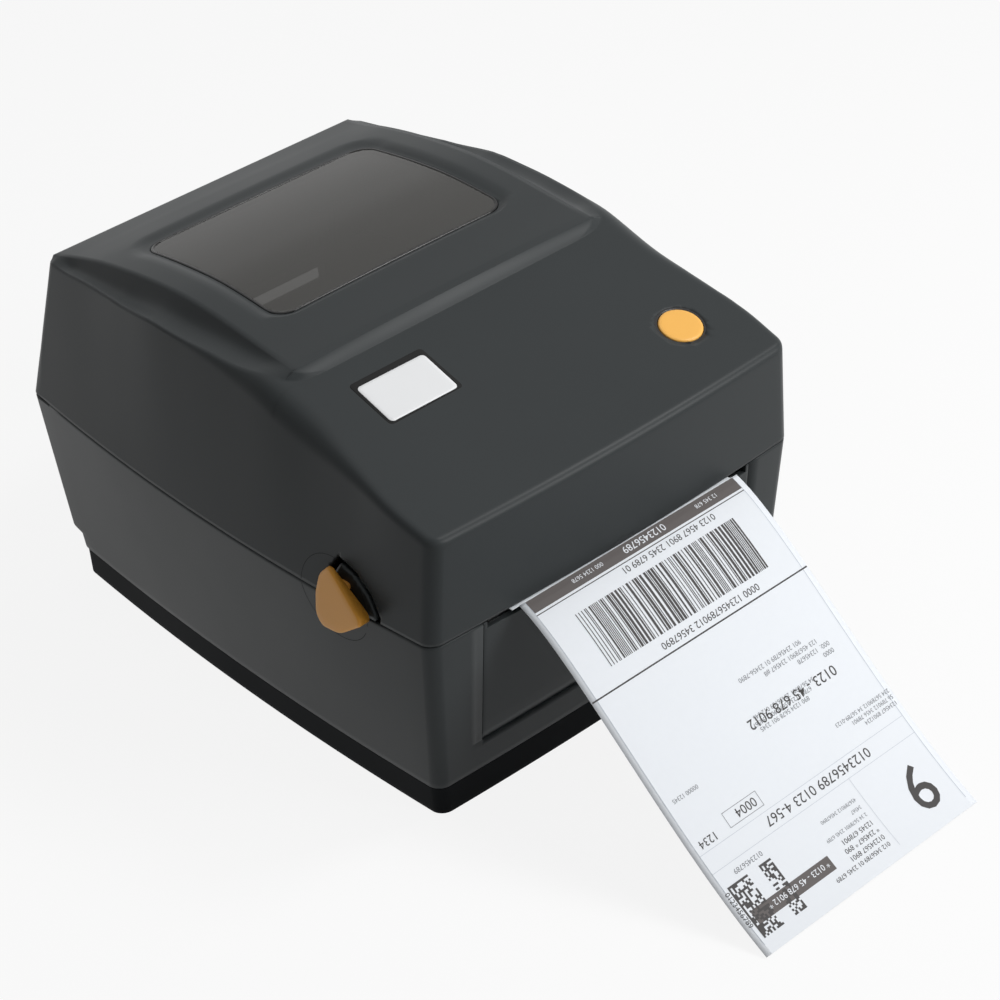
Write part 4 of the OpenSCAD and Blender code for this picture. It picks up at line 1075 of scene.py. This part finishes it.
class Ink:
    """Collects flat marks in label coordinates and makes one mesh of them."""

    def __init__(self):
        self.points = []
        self.faces = []

    def rect(self, u0, u1, v0, v1):
        """A filled rectangle, cut along v every 4 mm so that it follows the curve."""
        rows = max(2, int((v1 - v0) / 4) + 2)
        v = np.linspace(v0, v1, rows)
        self.faces += (cell_faces(rows, 2) + len(self.points)).tolist()
        self.points += [[u, at] for at in v.tolist() for u in (float(u0), float(u1))]

    def frame(self, u0, u1, v0, v1, width):
        """A rectangle's outline."""
        self.rect(u0, u1, v0, v0 + width)
        self.rect(u0, u1, v1 - width, v1)
        self.rect(u0, u0 + width, v0, v1)
        self.rect(u1 - width, u1, v0, v1)

    def digits(self, text, u, v, height, weight=0.0, upright=False):
        """Figures along -u with their tops towards +v, or along v with their tops towards +u."""
        figures = bpy.data.curves.new("figures", "FONT")
        figures.body = text
        figures.size = height * 1.4
        figures.offset = weight
        figures.resolution_u = 3
        item = bpy.data.objects.new("figures", figures)
        bpy.context.scene.collection.objects.link(item)
        graph = bpy.context.evaluated_depsgraph_get()
        mesh = bpy.data.meshes.new_from_object(item.evaluated_get(graph))
        at = np.empty(len(mesh.vertices) * 3)
        mesh.vertices.foreach_get("co", at)
        along, tall = at[0::3], at[1::3]
        base = len(self.points)
        marks = [u + tall, v + along] if upright else [u - along, v + tall]
        self.points += np.stack(marks, -1).tolist()
        self.faces += [[base + i for i in p.vertices] for p in mesh.polygons]
        bpy.data.objects.remove(item)
        bpy.data.curves.remove(figures)
        bpy.data.meshes.remove(mesh)

    def piece(self, name, material, lift):
        """The marks as a thin printed layer on the label."""
        flat = np.array(self.points)
        points = on_label(flat[:, 0], flat[:, 1], lift)
        piece = new_piece(name, points, self.faces, smooth=False, recalculate=False)
        dress(piece, material, "base", "paper")


class PRINTER_OT_label(bpy.types.Operator):
    """Printed label that hangs out of the slot, with a generic print of bars and figures"""

    bl_idname = "printer.label"
    bl_label = "Printed label"

    def execute(self, context):
        half = context.scene.printer_sizes.label_width / 2
        _, run = label_path()
        u, v = np.meshgrid(np.linspace(-half, half, 30), np.linspace(0, run[-1], 120))
        faces = cell_faces(*u.shape)
        sheet = new_piece("label_sheet", on_label(u, v), faces)
        solidify(sheet, 0.16, 0.0)
        dress(sheet, "label_stock", "base", "paper", "printed_label")
        label = on_label(np.clip(u * 0.955, -FACE_HALF, FACE_HALF), v, 0.13)
        face = new_piece("label_face", label, faces, recalculate=False)
        dress(face, "label_stock", "base", "paper")
        self.print_marks()
        return {"FINISHED"}

    def print_marks(self):
        """Lays out bars, rules, figures and a square code, all without meaning."""
        chance = np.random.RandomState(11)
        band, ink, grey, white, line = Ink(), Ink(), Ink(), Ink(), Ink()
        band.rect(-50.1, 50.1, 0.2, 5.6)
        white.digits("0123456789", 14, 1.4, 2.9, 0.02)
        white.digits("000 1234 5678", -16, 1.9, 1.7)
        white.digits("12 345 678", 40, 1.9, 1.7)
        ink.rect(-50.1, 50.1, 6.5, 6.85)
        ink.digits("0123 4567 8901 2345 6789 01", 33, 7.9, 2.6)
        # Bar code
        at = -38.0
        while at < 38.6:
            width = chance.choice([0.34, 0.34, 0.68, 1.0])
            ink.rect(at, min(at + width, 39), 13.3, 34.9)
            at += width + chance.choice([0.34, 0.34, 0.68, 1.0])
        ink.digits("0000 123456789012 34567890", 30.5, 37.4, 2.7)
        ink.rect(-52.3, 52.3, 41.7, 42.25)
        for k, (text, start) in enumerate([
                ("0000", 42), ("000:  12345678", 42), ("123 45678901 234567 #8", 38),
                ("901 23456789 01 23456-7890", 32)]):
            grey.digits(text, start, 70.6 - 2.9 * k, 1.8)
        ink.digits("0123 - 45 678 9012", 38, 75.6, 3.9, 0.015)
        for k, text in enumerate(["34 5678901 23456789 012 345", "6789 0123 45678 9012 34567",
                                  "890 1234 5678 901 2345"]):
            grey.digits(text, 28 - 3 * k, 75.2 + 2.3 * k, 1.7)
        grey.digits("00000 12345", -35.4, 83.4, 1.6)
        for k, text in enumerate(["1234567 8901234", "56 789012 3456 78901",
                                  "234 56789012 34 56789-0123"]):
            grey.digits(text, 51.6, 98.2 - 2.5 * k, 1.6)
        line.rect(-50.1, 50.1, 103.85, 104.0)
        line.rect(-50.1, 50.1, 111.0, 111.15)
        line.rect(16.2, 16.35, 111.0, 139.4)
        ink.digits("0123456789 0123 4-567", 30, 105.6, 3.7)
        ink.digits("1234", -39.6, 99.6, 3.0)
        grey.frame(-33.9, -17.8, 96.2, 102.0, 0.2)
        ink.digits("0004", -19.6, 97.5, 3.4)
        ink.digits("9", 44.0, 119.2, 17.5, 0.06)
        grey.digits("0123456789", -29.5, 113.6, 1.9)
        for k, (text, size) in enumerate([
                ("012 3456789 01 2345 6789", 1.7), ("01234567 8901", 1.9), ("* 234567 * 890", 1.9),
                ("12345 678901", 1.9), ("2 34 5678901 2345 6789", 1.4), ("34567", 1.4),
                ("456789012 34567890", 1.4)]):
            (ink if k < 4 else grey).digits(text, 13.5, 136.0 - 3.1 * k, size)
        ink.digits("0123456789", -50.9, 118.6, 2.0, upright=True)
        # Square code: solid left and near edges, random cells inside
        cells = 26
        cell = 20.4 / cells
        left, near = -48.6, 117.4
        on = chance.rand(cells, cells) > 0.5
        on[0, :] = True
        on[:, 0] = True
        on[-1, ::2] = True
        on[::2, -1] = True
        on[int(10 / cell):int(15.5 / cell), :] = False
        for i, j in zip(*np.nonzero(on)):
            ink.rect(left + i * cell, left + (i + 1) * cell, near + j * cell, near + (j + 1) * cell)
        band.rect(-46.8, -9.6, 127.9, 133.3)
        white.digits("* 0123 - 45 678 9012 *", -11.0, 129.3, 2.2, 0.01)
        for edge in (-FACE_HALF, FACE_HALF):
            line.rect(edge - 0.12, edge + 0.12, 0.2, 139.6)
        for marks, name, material, lift in (
                (band, "label_band", "band_ink", 0.17), (ink, "label_print", "label_ink", 0.18),
                (grey, "label_small_print", "grey_ink", 0.18), (line, "label_lines", "die_line", 0.17),
                (white, "label_reverse_print", "label_stock", 0.21)):
            marks.piece(name, material, lift)


# ---- Inner pieces ----


def coil(name, centre, tilt, radius, wire, length, turns):
    """A compression spring: a round wire carried along r (cos, sin), z = length * t."""
    t = np.linspace(0, 1, int(turns * 20) + 1)
    turn = t * turns * 2 * math.pi
    line = np.stack([radius * np.cos(turn), radius * np.sin(turn), length * t], -1)
    tangent = np.gradient(line, axis=0)
    tangent /= np.linalg.norm(tangent, axis=1)[:, None]
    outward = np.stack([np.cos(turn), np.sin(turn), 0 * turn], -1)
    third = np.cross(tangent, outward)
    angle = np.arange(8) * math.pi / 4
    rings = (line[:, None] + wire * (outward[:, None] * np.cos(angle)[None, :, None]
                                     + third[:, None] * np.sin(angle)[None, :, None]))
    return lofted(name, tilted(rings[..., 0], rings[..., 1], rings[..., 2], tilt, centre))


HEAD_TILT = math.radians(20)
SPRING_X = (-36, 36)
SPRING_LENGTH = 7.0
SPRING_R = 3.2
WIRE_R = 0.4
SPRING_TURNS = 4.5


class PRINTER_OT_springs(bpy.types.Operator):
    """Coil springs that press the print head down"""

    bl_idname = "printer.springs"
    bl_label = "Head springs"

    def execute(self, context):
        low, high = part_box("head_springs")
        middle = [(low[i] + high[i]) / 2 / MM for i in range(3)]
        y = middle[1] - SHIFT_Y + SPRING_LENGTH / 2 * math.sin(HEAD_TILT)
        z = middle[2] - SPRING_LENGTH / 2 * math.cos(HEAD_TILT)
        for i, x in enumerate(SPRING_X):
            piece = coil(f"head_spring_{i}", (x, y, z), HEAD_TILT, SPRING_R, WIRE_R, SPRING_LENGTH,
                         SPRING_TURNS)
            dress(piece, "ground_steel", "cover", "steel", *(["head_springs"] if i == 0 else []))
        return {"FINISHED"}


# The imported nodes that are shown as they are, by finish
NODE_FINISHES = {
    "ground_steel": ("tear_bar", "guide_rails", "sensor_rail", "hinge_pins", "catch_pins",
                     "latch_shaft", "platen_shaft"),
    "zinc_sheet": ("chassis_screws", "side_frame_left", "side_frame_right", "usb_port", "latch_hooks"),
    "bronze": ("platen_bushes", "motor_pinion"),
    "inner_plastic": ("media_bay", "hinge_brackets", "head_bracket", "guide_left", "guide_right"),
    "socket_plastic": ("board_parts", "power_jack", "switch_frame", "gap_sensor", "power_rocker"),
    "gear_acetal": ("platen_gear", "idler_gear", "guide_pinion"),
    "circuit_green": ("main_board", "button_board"),
    "housing_plastic": ("hinge_ears",),
    "motor_black": ("stepper_motor",),
    "head_ceramic": ("thermal_head",),
    "foot_rubber": ("rubber_feet",),
    "roller_rubber": ("platen_rubber",),
    "label_stock": ("label_web",),
    "roll_edges": ("label_roll",),
    "card": ("roll_core",),
}


class PRINTER_OT_node_finishes(bpy.types.Operator):
    """Finishes of the construction model's own pieces"""

    bl_idname = "printer.node_finishes"
    bl_label = "Inner finishes"

    def execute(self, context):
        for material, nodes in NODE_FINISHES.items():
            for node in nodes:
                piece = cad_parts[node]
                piece.data.materials.clear()
                piece.data.materials.append(finish(material))
        return {"FINISHED"}


# ---- Stage ----


def background_ray(tree):
    """1 for camera, glossy and transmission rays, which show the background, and 0 for others."""
    path = add_node(tree, "LightPath")
    total = path.outputs["Is Camera Ray"]
    for kind in ("Is Glossy Ray", "Is Transmission Ray"):
        either = add_node(tree, "Math", operation="MAXIMUM")
        tree.links.new(total, either.inputs[0])
        tree.links.new(path.outputs[kind], either.inputs[1])
        total = either.outputs[0]
    return total


def mix_shaders(tree, share, first, second, output):
    """Feeds an output with two shaders, the second by that share."""
    mix = add_node(tree, "MixShader")
    for source, socket in zip((share, first, second), mix.inputs):
        tree.links.new(source, socket)
    tree.links.new(mix.outputs["Shader"], tree.nodes[output].inputs["Surface"])


def placed(right, up, back, at):
    """Matrix with those axes and its origin at body millimetres."""
    matrix = Matrix(np.column_stack([right, up, back]).tolist()).to_4x4()
    matrix.translation = in_frame(at)
    return matrix


# Lamps as (name, width and depth in mm, power in W, place and target in body millimetres)
LAMPS = (
    ("key_lamp", (620, 420), 7.4, (520, -960, 560), (0, 0, 70)),
    ("band_lamp", (300, 300), 5.2, (568, -374, 1026), (0, -40, 147)),
    ("top_lamp", (800, 800), 1.3, (60, 260, 1000), (0, 0, 90)),
)
FLOOR_HALF = 6.0
FLOOR_Z = -0.0002
FLOOR_LIFT = 0.88
WORLD_LIGHT = 0.12
CAMERA_AT = (-520.65, -697.71, 642.27)
CAMERA_ANGLES = (-39.07, 34.83, -5.0)
CAMERA_FOCAL = 2.7552
SENSOR = 36.0


def area_light(name, size, power, location, target):
    """A rectangular lamp at location that faces target."""
    lamp = bpy.data.lights.new(name, "AREA")
    lamp.shape = "RECTANGLE"
    lamp.size, lamp.size_y = size[0] * MM, size[1] * MM
    lamp.energy = power
    item = bpy.data.objects.new(name, lamp)
    bpy.context.scene.collection.objects.link(item)
    back = in_frame(location) - in_frame(target)
    back /= np.linalg.norm(back)
    right = np.cross((0, 0, 1), back)
    right /= np.linalg.norm(right)
    item.matrix_world = placed(right, np.cross(back, right), back, location)


class PRINTER_OT_stage(bpy.types.Operator):
    """Pale floor, white surroundings, soft lamps and the camera"""

    bl_idname = "printer.stage"
    bl_label = "Stage"

    def execute(self, context):
        scene = context.scene
        self.floor(scene)
        self.world(scene)
        for lamp in LAMPS:
            area_light(*lamp)
        self.camera(scene)
        scene.view_settings.view_transform = "Standard"
        return {"FINISHED"}

    def floor(self, scene):
        """A pale matt floor that keeps the shadow, lifted to the white background where seen."""
        mesh = bpy.data.meshes.new("floor")
        corners = [(x * FLOOR_HALF, y * FLOOR_HALF, FLOOR_Z)
                   for x, y in ((-1, -1), (1, -1), (1, 1), (-1, 1))]
        mesh.from_pydata(corners, [], [(0, 1, 2, 3)])
        floor = bpy.data.objects.new("floor", mesh)
        scene.collection.objects.link(floor)
        material, tree, shader = new_material("floor_white", (0.86, 0.86, 0.86), 0.9, specular=0.0)
        glow = add_node(tree, "Emission", {"Strength": 1.0})
        lifted = add_node(tree, "Math", {1: FLOOR_LIFT}, operation="MULTIPLY")
        tree.links.new(background_ray(tree), lifted.inputs[0])
        mix_shaders(tree, lifted.outputs[0], shader.outputs["BSDF"], glow.outputs["Emission"],
                    "Material Output")
        floor.data.materials.append(material)

    def world(self, scene):
        """White where the camera, a gloss or a clear piece sees it, and soft grey light elsewhere."""
        scene.world = bpy.data.worlds.new("studio")
        scene.world.use_nodes = True
        tree = scene.world.node_tree
        light = tree.nodes["Background"]
        light.inputs["Color"].default_value = (1, 1, 1, 1)
        light.inputs["Strength"].default_value = WORLD_LIGHT
        seen = add_node(tree, "Background", {"Color": (1, 1, 1, 1), "Strength": 1.0})
        mix_shaders(tree, background_ray(tree), light.outputs["Background"],
                    seen.outputs["Background"], "World Output")

    def camera(self, scene):
        """Camera from its place, its azimuth, elevation and roll, and a focal length in widths."""
        azimuth, elevation, roll = (math.radians(a) for a in CAMERA_ANGLES)
        back = np.array([math.sin(azimuth) * math.cos(elevation),
                         -math.cos(azimuth) * math.cos(elevation), math.sin(elevation)])
        right = np.array([math.cos(azimuth), math.sin(azimuth), 0])
        up = np.cross(back, right)
        data = bpy.data.cameras.new("camera")
        data.sensor_width = SENSOR
        data.lens = CAMERA_FOCAL * SENSOR
        data.clip_start = 0.01
        camera = bpy.data.objects.new("camera", data)
        scene.collection.objects.link(camera)
        camera.matrix_world = placed(right * math.cos(roll) + up * math.sin(roll),
                                     -right * math.sin(roll) + up * math.cos(roll), back, CAMERA_AT)
        scene.camera = camera


class PRINTER_PT_panel(bpy.types.Panel):
    """Lists the printer's pieces in the sidebar"""

    bl_idname = "PRINTER_PT_panel"
    bl_label = "Label printer"
    bl_space_type = "VIEW_3D"
    bl_region_type = "UI"
    bl_category = "Printer"

    def draw(self, context):
        for group in (context.scene.printer_sizes, context.scene.printer_finish):
            for name in group.__annotations__:
                self.layout.prop(group, name)
        for operator in OPERATORS:
            self.layout.operator(operator.bl_idname)


OPERATORS = (
    PRINTER_OT_cover, PRINTER_OT_window, PRINTER_OT_button, PRINTER_OT_nameplate, PRINTER_OT_base,
    PRINTER_OT_levers, PRINTER_OT_label, PRINTER_OT_springs, PRINTER_OT_node_finishes,
    PRINTER_OT_stage,
)
GROUPS = (PrinterSizes, PrinterFinish)


def register():
    for item in GROUPS + OPERATORS + (PRINTER_PT_panel,):
        bpy.utils.register_class(item)
    bpy.types.Scene.printer_sizes = bpy.props.PointerProperty(type=PrinterSizes)
    bpy.types.Scene.printer_finish = bpy.props.PointerProperty(type=PrinterFinish)


def unregister():
    del bpy.types.Scene.printer_sizes
    del bpy.types.Scene.printer_finish
    for item in reversed(GROUPS + OPERATORS + (PRINTER_PT_panel,)):
        bpy.utils.unregister_class(item)


def main():
    register()
    for operator in OPERATORS:
        group, name = operator.bl_idname.split(".")
        result = getattr(getattr(bpy.ops, group), name)()
        if result != {"FINISHED"}:
            raise RuntimeError(f"{operator.bl_label} did not finish")


if __name__ == "__main__":
    main()
